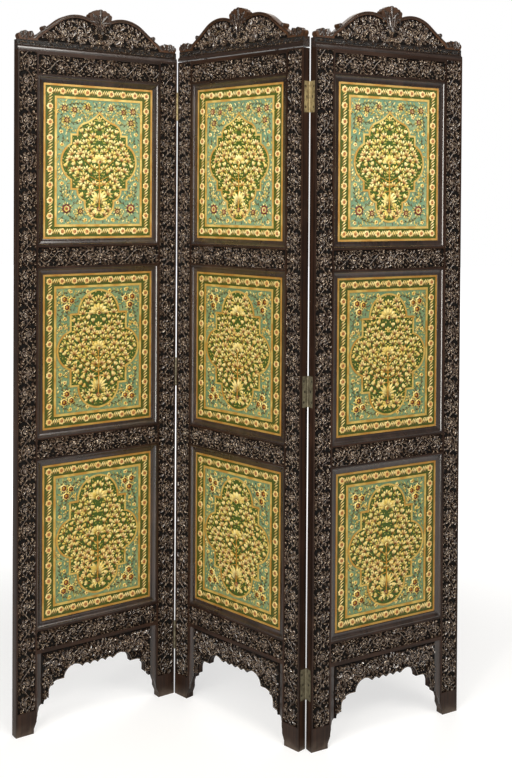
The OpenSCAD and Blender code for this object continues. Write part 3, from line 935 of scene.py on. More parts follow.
@dataclass
class Blossom:
    """A round flower of notched petals round a dipped ring and a boss.

    Args:
        name: What it is called.
        petals: How many petals it has.
        radius: Its radius.
        rise: Its height.
        notch: The radius of the notches between the petals, as a share.
        heart: The radius of the ring's outside, as a share.
        boss: The radius of the boss, as a share.
        sink: How far its edge goes into the ground.
    """

    name: str
    petals: int
    radius: float
    rise: float
    notch: float = 0.74
    heart: float = 0.5
    boss: float = 0.3
    sink: float = 0.35

    def model(self, petal: Material, ring: Material, boss: Material) -> Object:
        """Models the flower.

        Args:
            petal: The petals' finish.
            ring: The finish of the ring inside them.
            boss: The boss's finish.

        Returns:
            The flower's object.
        """
        Bench.clear()
        bpy.ops.mesh.primitive_circle_add(
            vertices=2 * self.petals, radius=self.radius, fill_type="NGON", location=(0, 0, 0)
        )
        piece = bpy.context.object
        for coat in (petal, ring, boss):
            piece.data.materials.append(coat)
        Bench.open(piece)
        bpy.ops.mesh.select_all(action="SELECT")
        bpy.ops.transform.translate(value=(0, 0, -self.sink))
        self.notches()
        bpy.ops.mesh.select_all(action="SELECT")
        self.step(0.9, 0.75 * self.rise + self.sink)
        self.step(0.78, 0.25 * self.rise)
        self.step(self.heart / 0.7, -0.45 * self.rise)
        self.step(self.boss / self.heart, -0.06 * self.rise, slot=1)
        self.step(0.62, 0.42 * self.rise, slot=2)
        self.step(0.5, 0.1 * self.rise, slot=2)
        Bench.close(piece, self.name)
        Bench.tone(piece, lambda co: math.hypot(co.x, co.y) / self.radius)
        return Bench.shelve(piece)

    def notches(self) -> None:
        """Draws every second vertex of the outline inwards."""
        turn = math.pi / self.petals
        Bench.pick(lambda v: round(math.atan2(v.co.x, v.co.y) / turn) % 2 == 1)
        middle = (0, 0, 0)
        bpy.ops.transform.resize(value=(self.notch, self.notch, 1), center_override=middle)

    def step(self, size: float, up: float, slot: int = 0) -> None:
        """Extrudes the selected top, resizes and lifts it.

        Args:
            size: The new size as a share of the old.
            up: How far it rises.
            slot: The number of the finish of what is made.
        """
        bpy.ops.mesh.extrude_region_move(TRANSFORM_OT_translate={"value": (0, 0, up)})
        bpy.ops.transform.resize(value=(size, size, 1))
        bpy.context.object.active_material_index = slot
        if slot:
            bpy.ops.mesh.select_more()
            bpy.ops.object.material_slot_assign()
            bpy.ops.mesh.select_less()


@dataclass
class Drawing:
    """A flat drawing in millimetres: copies of motifs and stems, to be joined into one mesh.

    X runs to the right, Y up the leaf, and Z towards the viewer from the carving's ground.
    """

    name: str
    parts: list[Object] = field(default_factory=list)
    stems: dict[str, tuple[Material, list[tuple[list[Point], float, float, float]]]] = field(
        default_factory=dict
    )

    def put(
        self,
        motif: Object,
        x: float,
        y: float,
        turn: float = 0.0,
        size: float = 1.0,
        flip: bool = False,
        lift: float = 0.0,
    ) -> None:
        """Puts a copy of a motif on the drawing.

        Args:
            motif: The motif.
            x: Where its foot or middle goes.
            y: The same, upwards.
            turn: Its turn in degrees, counterclockwise from pointing up.
            size: Its size as a share of the motif's.
            flip: Whether it is mirrored left for right.
            lift: How far it is raised off the ground.
        """
        copy = motif.copy()
        bpy.context.collection.objects.link(copy)
        shape = Matrix.Diagonal((-size if flip else size, size, 1, 1))
        spin = Matrix.Rotation(math.radians(turn), 4, "Z")
        copy.matrix_world = Matrix.Translation((x, y, lift)) @ spin @ shape
        self.parts.append(copy)

    def ring(
        self,
        motif: Object,
        x: float,
        y: float,
        reach: float,
        turn: float,
        size: float = 1.0,
        face: float | None = None,
    ) -> None:
        """Puts a copy of a motif at a distance from a point.

        Args:
            motif: The motif.
            x: The point.
            y: The same, upwards.
            reach: The distance from the point to the motif's foot.
            turn: The direction that the foot lies in, in degrees counterclockwise from up.
            size: Its size as a share of the motif's.
            face: The direction that it points in, where that isn't away from the point.
        """
        way = math.radians(turn)
        foot = x - reach * math.sin(way), y + reach * math.cos(way)
        self.put(motif, *foot, turn if face is None else face, size)

    def stem(
        self, points: list[Point], thick: float, thin: float, coat: Material, lift: float = 1.0
    ) -> None:
        """Draws a stem that tapers along its points.

        Args:
            points: The points.
            thick: The radius at its start.
            thin: The radius at its end.
            coat: Its finish.
            lift: The height of its middle above the ground.
        """
        held = self.stems.setdefault(coat.name, (coat, []))
        held[1].append((points, thick, thin, lift))

    def tubes(self) -> None:
        """Makes the stems' tubes, one object for each finish."""
        for name, (coat, runs) in self.stems.items():
            curve = bpy.data.curves.new(f"stem_{name}", "CURVE")
            curve.dimensions, curve.bevel_depth, curve.bevel_resolution = "3D", 1.0, 1
            curve.use_fill_caps = True
            for points, thick, thin, lift in runs:
                spline = curve.splines.new("POLY")
                spline.points.add(len(points) - 1)
                for i, (x, y) in enumerate(points):
                    share = i / (len(points) - 1)
                    spline.points[i].co = (x, y, lift, 1)
                    spline.points[i].radius = thick + (thin - thick) * share
            piece = bpy.data.objects.new(f"stem_{name}", curve)
            bpy.context.collection.objects.link(piece)
            Bench.take(piece)
            bpy.ops.object.convert(target="MESH")
            piece = bpy.context.object
            piece.data.materials.clear()
            piece.data.materials.append(coat)
            bpy.ops.object.shade_smooth()
            self.parts.append(piece)

    def joined(self) -> Object:
        """Joins everything on the drawing into one mesh that knows its height above the ground.

        Returns:
            The joined drawing.
        """
        self.tubes()
        Bench.clear()
        for part in self.parts:
            part.select_set(True)
        bpy.context.view_layer.objects.active = self.parts[-1]
        bpy.ops.object.make_single_user(object=True, obdata=True)
        bpy.ops.object.transform_apply(location=True, rotation=True, scale=True)
        bpy.ops.object.join()
        whole = bpy.context.object
        whole.name = whole.data.name = self.name
        Bench.outwards(whole)
        Drawing.measure(whole)
        return whole

    def doubled(self, name: str) -> "Drawing":
        """Starts a new drawing with this one, joined, and its mirror image."""
        half = self.joined()
        return Drawing(name, [half, Bench.mirrored(half, f"{self.name}_twin")])

    @staticmethod
    def trimmed(whole: Object, half_x: float | None, half_y: float | None) -> Object:
        """Presses what overruns a field back under its border.

        Args:
            whole: The joined drawing.
            half_x: How far it may reach along X from its middle, if that is limited.
            half_y: The same along Y.

        Returns:
            The drawing.
        """
        for vertex in whole.data.vertices:
            for axis, reach in enumerate((half_x, half_y)):
                if reach is not None:
                    vertex.co[axis] = max(-reach, min(reach, vertex.co[axis]))
        return whole

    @staticmethod
    def measure(whole: Object) -> None:
        """Writes each vertex's height above the ground on the mesh."""
        layer = whole.data.attributes.get("lift") or whole.data.attributes.new(
            "lift", "FLOAT", "POINT"
        )
        layer.data.foreach_set("value", [v.co.z for v in whole.data.vertices])


@dataclass
class Scroll:
    """A spiral stem with a flower at its heart and leaves round it.

    Args:
        x: Its middle.
        y: The same, upwards.
        radius: Its outer radius.
        start: The direction of its outer end from its middle, in degrees.
        turns: How many turns it makes.
        hand: 1 for counterclockwise inwards, -1 for clockwise.
        lead: Where its stem comes from, if it starts further out.
    """

    x: float
    y: float
    radius: float
    start: float = 180.0
    turns: float = 1.35
    hand: int = 1
    lead: Point | None = None
    inner: float = 0.36
    steps: int = 20
    leaves: int = 8

    def at(self, share: float) -> Triple:
        """Finds a point of the spiral.

        Args:
            share: How far along it, 0 outside to 1 inside.

        Returns:
            The point's place, and its direction from the middle in degrees.
        """
        angle = self.start + self.hand * 360 * self.turns * share
        reach = self.radius * (1 - (1 - self.inner) * share)
        way = math.radians(angle)
        return self.x + reach * math.cos(way), self.y + reach * math.sin(way), angle

    def draw(self, sheet: Drawing, tools: "Chisels", size: float = 1.0) -> None:
        """Draws the scroll.

        Args:
            sheet: The drawing.
            tools: The motifs to draw it with.
            size: The leaves' size.
        """
        line = [self.at(i / self.steps)[:2] for i in range(self.steps + 1)]
        if self.lead:
            line.insert(0, self.lead)
        sheet.stem(line, 2.0 * size, 1.4 * size, tools.coat, lift=1.6)
        sheet.put(tools.flower, self.x, self.y, turn=self.start, size=self.radius * 0.04)
        for i in range(self.leaves):
            x, y, angle = self.at((i + 0.4) / self.leaves / self.turns)
            turn = angle - 90 + self.hand * (38 + 10 * (i % 2))
            scale = size * (1.0 if i % 2 == 0 else 0.84)
            sheet.put(tools.hook, x, y, turn, scale, flip=self.hand > 0)


class Chisels:
    """The carver's motifs, modelled once."""

    def __init__(self, coat: Material) -> None:
        """Models the motifs.

        Args:
            coat: The finish of the carving.
        """
        self.coat = coat
        lobes = (
            (0.0, 0.2, 0.55),
            (0.13, 0.66, 0.85),
            (0.25, 0.48, 0.95),
            (0.42, 1.0, 1.0),
            (0.55, 0.6, 1.0),
            (0.71, 0.76, 0.9),
            (1.0, 0.08, 0.35),
        )
        oval = (
            (0.0, 0.3, 0.55),
            (0.25, 0.85, 0.9),
            (0.6, 1.0, 1.0),
            (0.85, 0.6, 0.8),
            (1, 0.1, 0.35),
        )
        self.hook = Blade("hook", 17, 13.5, 3.5, lobes, sway=0.3, lean=0.1).model(self.coat)
        self.leaf = Blade("leaf", 15, 12, 3.3, lobes, lean=0.1).model(self.coat)
        coats = (self.coat, self.coat, self.coat)
        self.flower = Blossom("flower", 6, 15.5, 3.7).model(*coats)
        self.bud = Blossom("bud", 5, 4.4, 3.1).model(*coats)
        self.stalk = Blade("stalk", 56, 6.6, 5.2, oval, columns=2).model(self.coat)
        self.rib = Blade("rib", 58, 5.2, 2.6, oval, columns=2).model(self.coat)
        self.plume = Blade("plume", 46, 17, 1.9, lobes, lean=0.05).model(self.coat)
        self.low_leaf = Blade("low_leaf", 15, 11, 1.8, lobes, lean=0.09).model(self.coat)
        self.low_bud = Blossom("low_bud", 5, 5.0, 1.8).model(*coats)


@dataclass
class Bed:
    """A region of a drawing whose bare parts are filled with small motifs.

    Args:
        motifs: The motifs to choose from.
        inside: Tells whether a point may be filled.
        taken: Discs that are filled already, as x, y and radius.
        spread: The region's left, right, low and high limits.
        step: The distance from one motif to the next.
        aim: The direction that a motif points in, in degrees from up.
        dice: The seeded source of chance.
        sizes: The smallest and largest size.
        waver: How far a motif may turn from its aim, in degrees.
    """

    motifs: Sequence[Object]
    inside: Callable[[float, float], bool]
    taken: list[Triple]
    spread: tuple[float, float, float, float]
    step: float
    aim: Callable[[float, float], float]
    dice: random.Random
    sizes: tuple[float, float]
    waver: float = 28.0

    def free(self, x: float, y: float, room: float = 0.0) -> bool:
        """Tells whether a point may be filled and has some room to every disc."""
        clear = all(math.hypot(x - tx, y - ty) > tr + room for tx, ty, tr in self.taken)
        return clear and self.inside(x, y)

    def sow(self, sheet: Drawing, x: float, y: float) -> None:
        """Puts one of the motifs with its middle at a point."""
        turn = self.aim(x, y) + self.dice.uniform(-self.waver, self.waver)
        size = self.dice.uniform(*self.sizes)
        foot = math.radians(turn)
        fx, fy = x + 5 * size * math.sin(foot), y - 5 * size * math.cos(foot)
        shape, flip = self.dice.choice(self.motifs), self.dice.random() < 0.5
        sheet.put(shape, fx, fy, turn, size, flip=flip)

    def rows(self, sheet: Drawing, slope: float = 0.0, keep: float = 0.0) -> None:
        """Fills the region in staggered rows.

        Args:
            sheet: The drawing.
            slope: How far the rows rise to the right, in degrees.
            keep: The share of a step that each motif takes up as a disc of its own.
        """
        left, right, low, high = self.spread
        rise, step, jitter = math.radians(slope), self.step, self.dice.uniform
        sine, cosine = math.sin(rise), math.cos(rise)
        drop = (right - left) * sine
        for j in range(int((high - low + drop) / (step * ROW_PITCH)) + 1):
            y = -drop + j * step * ROW_PITCH
            x = (j % 2) * step / 2 + y * math.tan(rise)
            while x * cosine <= right - left + abs(y) * sine:
                px = left + x * cosine - y * sine + jitter(-1, 1) * step * ROW_JITTER
                py = low + x * sine + y * cosine + jitter(-1, 1) * step * ROW_JITTER
                x += step
                if not (left <= px <= right + step and self.free(px, py)):
                    continue
                if keep:
                    self.taken.append((px, py, keep * step))
                self.sow(sheet, px, py)

    def strew(self, sheet: Drawing) -> None:
        """Strews the motifs loosely, none nearer to another than a step."""
        left, right, low, high = self.spread
        mesh, room = self.step / 4, self.step / 2
        spots = [
            (left + i * mesh, low + j * mesh)
            for j in range(int((high - low) / mesh) + 1)
            for i in range(int((right - left) / mesh) + 1)
        ]
        self.dice.shuffle(spots)
        for x, y in spots:
            if self.free(x, y, room):
                self.sow(sheet, x, y)
                self.taken.append((x, y, room))


@dataclass
class BandCarving:
    """The running scroll in the sunk fields of the stiles and rails.

    Args:
        tools: The carver's motifs.
    """

    tools: Chisels
    stile_cells: int = 34
    rail_cells: int = 4
    field_h: float = 48.0
    heart: float = 9.0
    overrun: float = 3.3
    taken: list[Triple] = field(default_factory=list)

    def cell(self, sheet: Drawing, x: float, length: float, half: float, hand: int) -> None:
        """Draws one half wave of the running stem with the scroll that it throws off.

        Args:
            sheet: The drawing.
            x: Where the half wave starts.
            length: Its length.
            half: Half the width of the field.
            hand: 1 if it swings up and -1 if it swings down.
        """
        tools = self.tools
        wave = [
            (x + length * i / 8, hand * 0.6 * half * math.sin(math.pi * i / 8)) for i in range(9)
        ]
        sheet.stem(wave, 1.5, 1.5, tools.coat, lift=1.5)
        radius = min(0.26 * length, 0.5 * half)
        middle = (x + 0.5 * length, -hand * 0.2 * half)
        start = 165.0 if hand > 0 else 195.0
        lead = (x + 0.03 * length, hand * 0.06 * half)
        Scroll(*middle, radius, start, hand=hand, lead=lead).draw(sheet, tools, radius / 15)
        for share, out, turn in ((0.2, 0.62, 52), (0.5, 0.86, 78), (0.8, 0.66, 104)):
            aim = -turn if hand > 0 else turn - 180
            sheet.put(tools.hook, x + share * length, hand * out * half, aim, 0.66, flip=hand > 0)
        self.taken.append((*middle, radius + 8.5))

    def rest(self, sheet: Drawing, length: float, half: float) -> None:
        """Fills what the scrolls leave bare with small leaves.

        Args:
            sheet: The drawing.
            length: Its length.
            half: Half its width.
        """
        tools = self.tools
        Bed(
            (tools.hook, tools.leaf, tools.hook, tools.bud),
            lambda x, y: True,
            self.taken,
            (1.0, length, -half, half),
            LEAF_STEP,
            lambda x, y: -55.0 if y > 0 else -125.0,
            random.Random(3),
            (0.52, 0.72),
        ).rows(sheet)
        self.taken.clear()

    def stile_band(self, length: float, half: float) -> Object:
        """Draws the band of one stile, lying along X.

        Args:
            length: The field's length.
            half: Half its width.

        Returns:
            The band.
        """
        cell = length / self.stile_cells
        sheet = Drawing("stile_band")
        self.cell(sheet, 0.0, cell, half, 1)
        self.cell(sheet, cell, cell, half, -1)
        self.rest(sheet, 2 * cell, half)
        band = Drawing.trimmed(sheet.joined(), None, half + self.overrun)
        Bench.apply(
            band,
            "ARRAY",
            count=self.stile_cells // 2,
            use_relative_offset=False,
            use_constant_offset=True,
            constant_offset_displace=(2 * cell, 0, 0),
        )
        return band

    def rail_band(self) -> Object:
        """Draws the band of one rail, its two halves mirrored about a flower in the middle."""
        sheet = Drawing("rail_half")
        cell = (SCREEN.inner_w / 2 - self.heart) / self.rail_cells
        for i in range(self.rail_cells):
            hand = 1 if i % 2 == 0 else -1
            self.cell(sheet, self.heart + i * cell, cell, self.field_h / 2, hand)
        self.taken.append((0.0, 0.0, 15.0))
        self.rest(sheet, SCREEN.inner_w / 2, self.field_h / 2)
        band = sheet.doubled("rail_band")
        band.put(self.tools.flower, 0, 0, size=0.6)
        for turn in range(0, 360, 45):
            band.ring(self.tools.leaf, 0, 0, 7, turn, 0.85)
        reach = SCREEN.inner_w / 2 + self.overrun
        return Drawing.trimmed(band.joined(), reach, self.field_h / 2 + self.overrun)

    def build(self, places: list[Place]) -> None:
        """Carves the stiles and rails of all leaves.

        Args:
            places: Where the leaves stand.
        """
        length = SCREEN.frame_h - SCREEN.foot_block_h - SCREEN.border_w
        half = SCREEN.stile_w / 2 - SCREEN.border_w
        right = self.stile_band(length, half)
        left = Bench.mirrored(right, "stile_band_left")
        quarter = Matrix.Rotation(math.pi / 2, 4, "Z")
        right.data.transform(quarter)
        left.data.transform(quarter @ Matrix.Rotation(math.pi, 4, "Z"))
        rail = self.rail_band()
        ground = SCREEN.field_depth
        into = SCREEN.border_w + self.field_h / 2
        rails = {
            "top_rail": SCREEN.frame_h - SCREEN.end_rail_h + into,
            "upper_rail": SCREEN.opening_z(Row.TOP) - into,
            "lower_rail": SCREEN.opening_z(Row.MIDDLE) - into,
            "bottom_rail": SCREEN.opening_z(Row.BOTTOM) - into,
        }
        for place in places:
            for hand, band, x in (
                ("left", left, SCREEN.stile_w / 2),
                ("right", right, SCREEN.leaf_w - SCREEN.stile_w / 2),
            ):
                where = place.lay(x, ground, SCREEN.foot_block_h)
                name = f"{place.body}_stile_{hand}_carving"
                Bench.lay(band, name, place.body, "frame_wood", where)
            for node, z in rails.items():
                where = place.lay(SCREEN.leaf_w / 2, ground, z)
                Bench.lay(rail, f"{place.body}_{node}_carving", place.body, "frame_wood", where)
        for drawing in (left, right, rail):
            bpy.data.objects.remove(drawing)


@dataclass
class ApronCarving:
    """The scrolls on the apron, down to its scalloped edge, measured from the leaf's middle.

    Args:
        tools: The carver's motifs.
    """

    tools: Chisels
    ground: float = 5.0
    half_w: float = 156.5
    top: float = 198.0
    rim: float = 3.0
    flower_z: float = 172.0
    arch: tuple[Disc | Block, ...] = (
        Disc(66, 118, 29),
        Disc(112, 92, 26),
        Disc(140, 68, 12),
        Disc(155, 56, 10),
        Disc(11, 131, 12),
        Disc(33, 131, 12),
        Block(0, 46, 138, 46),
        Block(0, 59, 112, 59),
        Block(0, 68.5, 66, 68.5),
        Block(0, 30, 155, 30),
        Block(0, 28, 165, 28),
    )

    def inside(self, x: float, z: float, inset: float) -> bool:
        """Tells whether a point lies on the apron, an inset away from its edges."""
        clear = all(form.gap(abs(x), z) > inset for form in self.arch)
        return clear and abs(x) < self.half_w - inset / 2 and z < self.top - inset / 2

    def build(self, places: list[Place]) -> None:
        """Carves the aprons of all leaves.

        Args:
            places: Where the leaves stand.
        """
        tools = self.tools
        sheet = Drawing("apron_half")
        scrolls = [
            Scroll(40, 170, 13, 190, hand=-1, lead=(13, 176)),
            Scroll(82, 168, 14, 150, hand=1, lead=(52, 187)),
            Scroll(124, 163, 17, 190, hand=-1, lead=(98, 150)),
            Scroll(141, 119, 10, 80, hand=-1, lead=(150, 138)),
            Scroll(148, 86, 6, 80, hand=1, lead=(152, 100)),
        ]
        taken = [(0.0, self.flower_z, 20.0)]
        for scroll in scrolls:
            scroll.draw(sheet, tools, scroll.radius / 13)
            taken.append((scroll.x, scroll.y, 1.45 * scroll.radius))
        Bed(
            (tools.hook, tools.leaf, tools.bud),
            lambda x, z: self.inside(x, z, 5.5),
            taken,
            (3, self.half_w - 2, 54, self.top - 2),
            LEAF_STEP,
            lambda x, z: -40.0 if z > 150 else -100.0,
            random.Random(11),
            (0.6, 0.8),
        ).rows(sheet)
        whole = sheet.doubled("apron_carving")
        whole.put(tools.flower, 0, self.flower_z, size=0.66)
        for turn in range(0, 360, 45):
            whole.ring(tools.leaf, 0, self.flower_z, 7.5, turn)
        edge = [
            (float(i), max(form.top(abs(i), self.rim) for form in self.arch))
            for i in range(-150, 151)
        ]
        whole.stem(edge, 1.25, 1.25, tools.coat, lift=3.2)
        drawing = whole.joined()
        for place in places:
            where = place.lay(SCREEN.leaf_w / 2, self.ground, 0.0)
            Bench.lay(drawing, f"{place.body}_apron_carving", place.body, "carved_wood", where)
        bpy.data.objects.remove(drawing)


@dataclass
class CrestCarving:
    """The carving of the cresting and of the rail under it, measured from the frame's top.

    Args:
        tools: The carver's motifs.
    """

    tools: Chisels
    ground: float = 6.0
    face: float = 2.0
    rail_ground: float = 5.0
    rail_top: float = 25.0
    rail_z: float = 18.4
    palmette_z: float = 82.0
    bead_in: float = 4.0
    rim: float = 8.0
    arch: Disc = Disc(65, 5, 95)
    slope: tuple[Point, Point] = ((125, 79), (182, 34))

    def inside(self, x: float, z: float, inset: float) -> bool:
        """Tells whether a point lies in the sunk field, an inset away from its rim."""
        x = abs(x)
        (x0, z0), (x1, z1) = self.slope
        if z < self.rail_top + inset or x > x1 - self.rim - inset:
            return False
        if x < x0:
            return self.arch.gap(x, z) < -self.rim - inset
        return z < z0 + (z1 - z0) * (x - x0) / (x1 - x0) - 1.27 * (self.rim + inset)

    def field(self) -> Object:
        """Draws the scrolls of the sunk field."""
        tools = self.tools
        sheet = Drawing("crest_half")
        scrolls = [
            Scroll(57, 56, 16, 200, hand=-1, lead=(30, 46)),
            Scroll(101, 49, 13, 110, hand=1, lead=(80, 70)),
            Scroll(140, 40, 7, 100, hand=-1, lead=(124, 48)),
            Scroll(24, 40, 11, 215, turns=1.15, hand=1, lead=(8, 37), leaves=4),
        ]
        taken = [(0.0, 50.0, 14.0)]
        for scroll in scrolls:
            scroll.draw(sheet, tools, scroll.radius / 12.5)
            taken.append((scroll.x, scroll.y, 1.45 * scroll.radius))
        for turn in range(-18, 100, 9):
            way = math.radians(turn)
            x, z = self.arch.x + 85 * math.cos(way), self.arch.z + 85 * math.sin(way)
            if self.inside(x, z, -1.5):
                sheet.put(tools.leaf, x, z, turn + 118, 0.82)
                taken.append((x, z, 7.0))
        Bed(
            (tools.hook, tools.leaf, tools.bud),
            lambda x, z: self.inside(x, z, 2.0),
            taken,
            (4, 174, 27, 92),
            LEAF_STEP,
            lambda x, z: -30.0 if x > 65 else 20.0,
            random.Random(5),
            (0.6, 0.8),
        ).rows(sheet)
        whole = sheet.doubled("crest_field")
        for turn in (-13, -6.5, 0, 6.5, 13):
            way = math.radians(turn)
            whole.put(tools.stalk, -14 * math.sin(way), 34 + 5 * math.cos(way), 0.6 * turn, 1.0)
        for turn, size in ((150, 0.7), (-150, 0.7), (180, 0.6), (118, 0.8), (-118, 0.8)):
            whole.put(tools.hook, 0, 38, turn, size, flip=turn < 0, lift=0.6)
        whole.stem([(-11, 40), (-5, 38), (0, 37.4), (5, 38), (11, 40)], 2.2, 2.2, tools.coat, 3.2)
        for hand in (-1, 1):
            for x, z, reach in ((19, 43, 13.5), (19, 39, 6.5), (49, 41, 12.0)):
                ways = [math.radians(turn) for turn in range(70, 300, 14)]
                curl = [(hand * (x - reach * math.cos(w)), z + reach * math.sin(w)) for w in ways]
                whole.stem(curl, 1.5, 2.6 if reach > 7 else 1.6, tools.coat, 3.4)
        return whole.joined()

    def finial(self) -> Object:
        """Draws the palmette, the corner leaves and the volutes, on the board's face."""
        tools = self.tools
        sheet = Drawing("crest_finial")
        for turn, size in ((80, 0.62), (-80, 0.62), (44, 0.7), (-44, 0.7), (0, 0.75)):
            sheet.ring(tools.plume, 0, self.palmette_z, 3, turn, size)
            sheet.ring(tools.low_bud, 0, self.palmette_z, 3 + 34 * size, turn, 0.94, face=0.0)
        for turn in (-22, -11, 0, 11, 22):
            foot_z, size = 50 + 6 * math.cos(math.radians(turn)), 1.0 - abs(turn) / 90
            sheet.put(tools.rib, 0.22 * turn, foot_z, -turn, size, lift=0.2)
        reach = self.arch.radius - self.bead_in
        for hand in (-1, 1):
            ways = [math.radians(turn) for turn in range(127, 50, -4)]
            edge = [
                (hand * (self.arch.x + reach * math.cos(way)), self.arch.z + reach * math.sin(way))
                for way in ways
            ]
            edge.append((hand * 179, 37))
            sheet.stem(edge, 1.5, 1.5, tools.coat, lift=0.1)
        for hand in (-1, 1):
            for x, z, turn, size in (
                (188, 30, -58, 1.0),
                (196, 30, -20, 1.25),
                (203, 29, 12, 1.3),
                (213, 29, 22, 1.15),
                (218, 30, -40, 0.9),
            ):
                sheet.put(tools.low_leaf, hand * x, z, hand * -turn, size)
            sheet.put(tools.low_bud, hand * 156.2, 58.2, size=1.1)
            sheet.put(tools.low_bud, hand * 205, 29.5, size=0.8)
        return sheet.joined()

    def rail(self) -> Object:
        """Draws the small leaves on the rail, between two thin beads."""
        sheet = Drawing("crest_rail_leaves")
        tools = self.tools
        half_w, half_h = SCREEN.leaf_w / 2 - 1, 6.2
        Bed(
            (tools.hook, tools.low_leaf, tools.leaf, tools.low_bud),
            lambda x, z: True,
            [],
            (-half_w + 2, half_w - 2, -half_h + 1, half_h),
            6.8,
            lambda x, z: 70.0 if x > 0 else -70.0,
            random.Random(8),
            (0.4, 0.52),
        ).rows(sheet)
        for z, thick in ((-6.4, 1.0), (5.9, 0.7)):
            sheet.stem([(-half_w, z), (half_w, z)], thick, thick, tools.coat, lift=1.2)
        return Drawing.trimmed(sheet.joined(), half_w, half_h + 1)

    def build(self, places: list[Place]) -> None:
        """Carves the crestings of all leaves.

        Args:
            places: Where the leaves stand.
        """
        middle = SCREEN.leaf_w / 2
        drawings = {
            "crest_carving": (self.field(), middle, self.ground, 0.0),
            "crest_finial": (self.finial(), middle, self.face, 0.0),
            "crest_rail_carving": (self.rail(), middle, self.rail_ground, self.rail_z),
        }
        for place in places:
            for name, (drawing, x, ground, up) in drawings.items():
                where = place.lay(x, ground, SCREEN.frame_h + place.seam + up)
                Bench.lay(drawing, f"{place.body}_{name}", place.body, "carved_wood", where)
        for drawing, *_ in drawings.values():
            bpy.data.objects.remove(drawing)


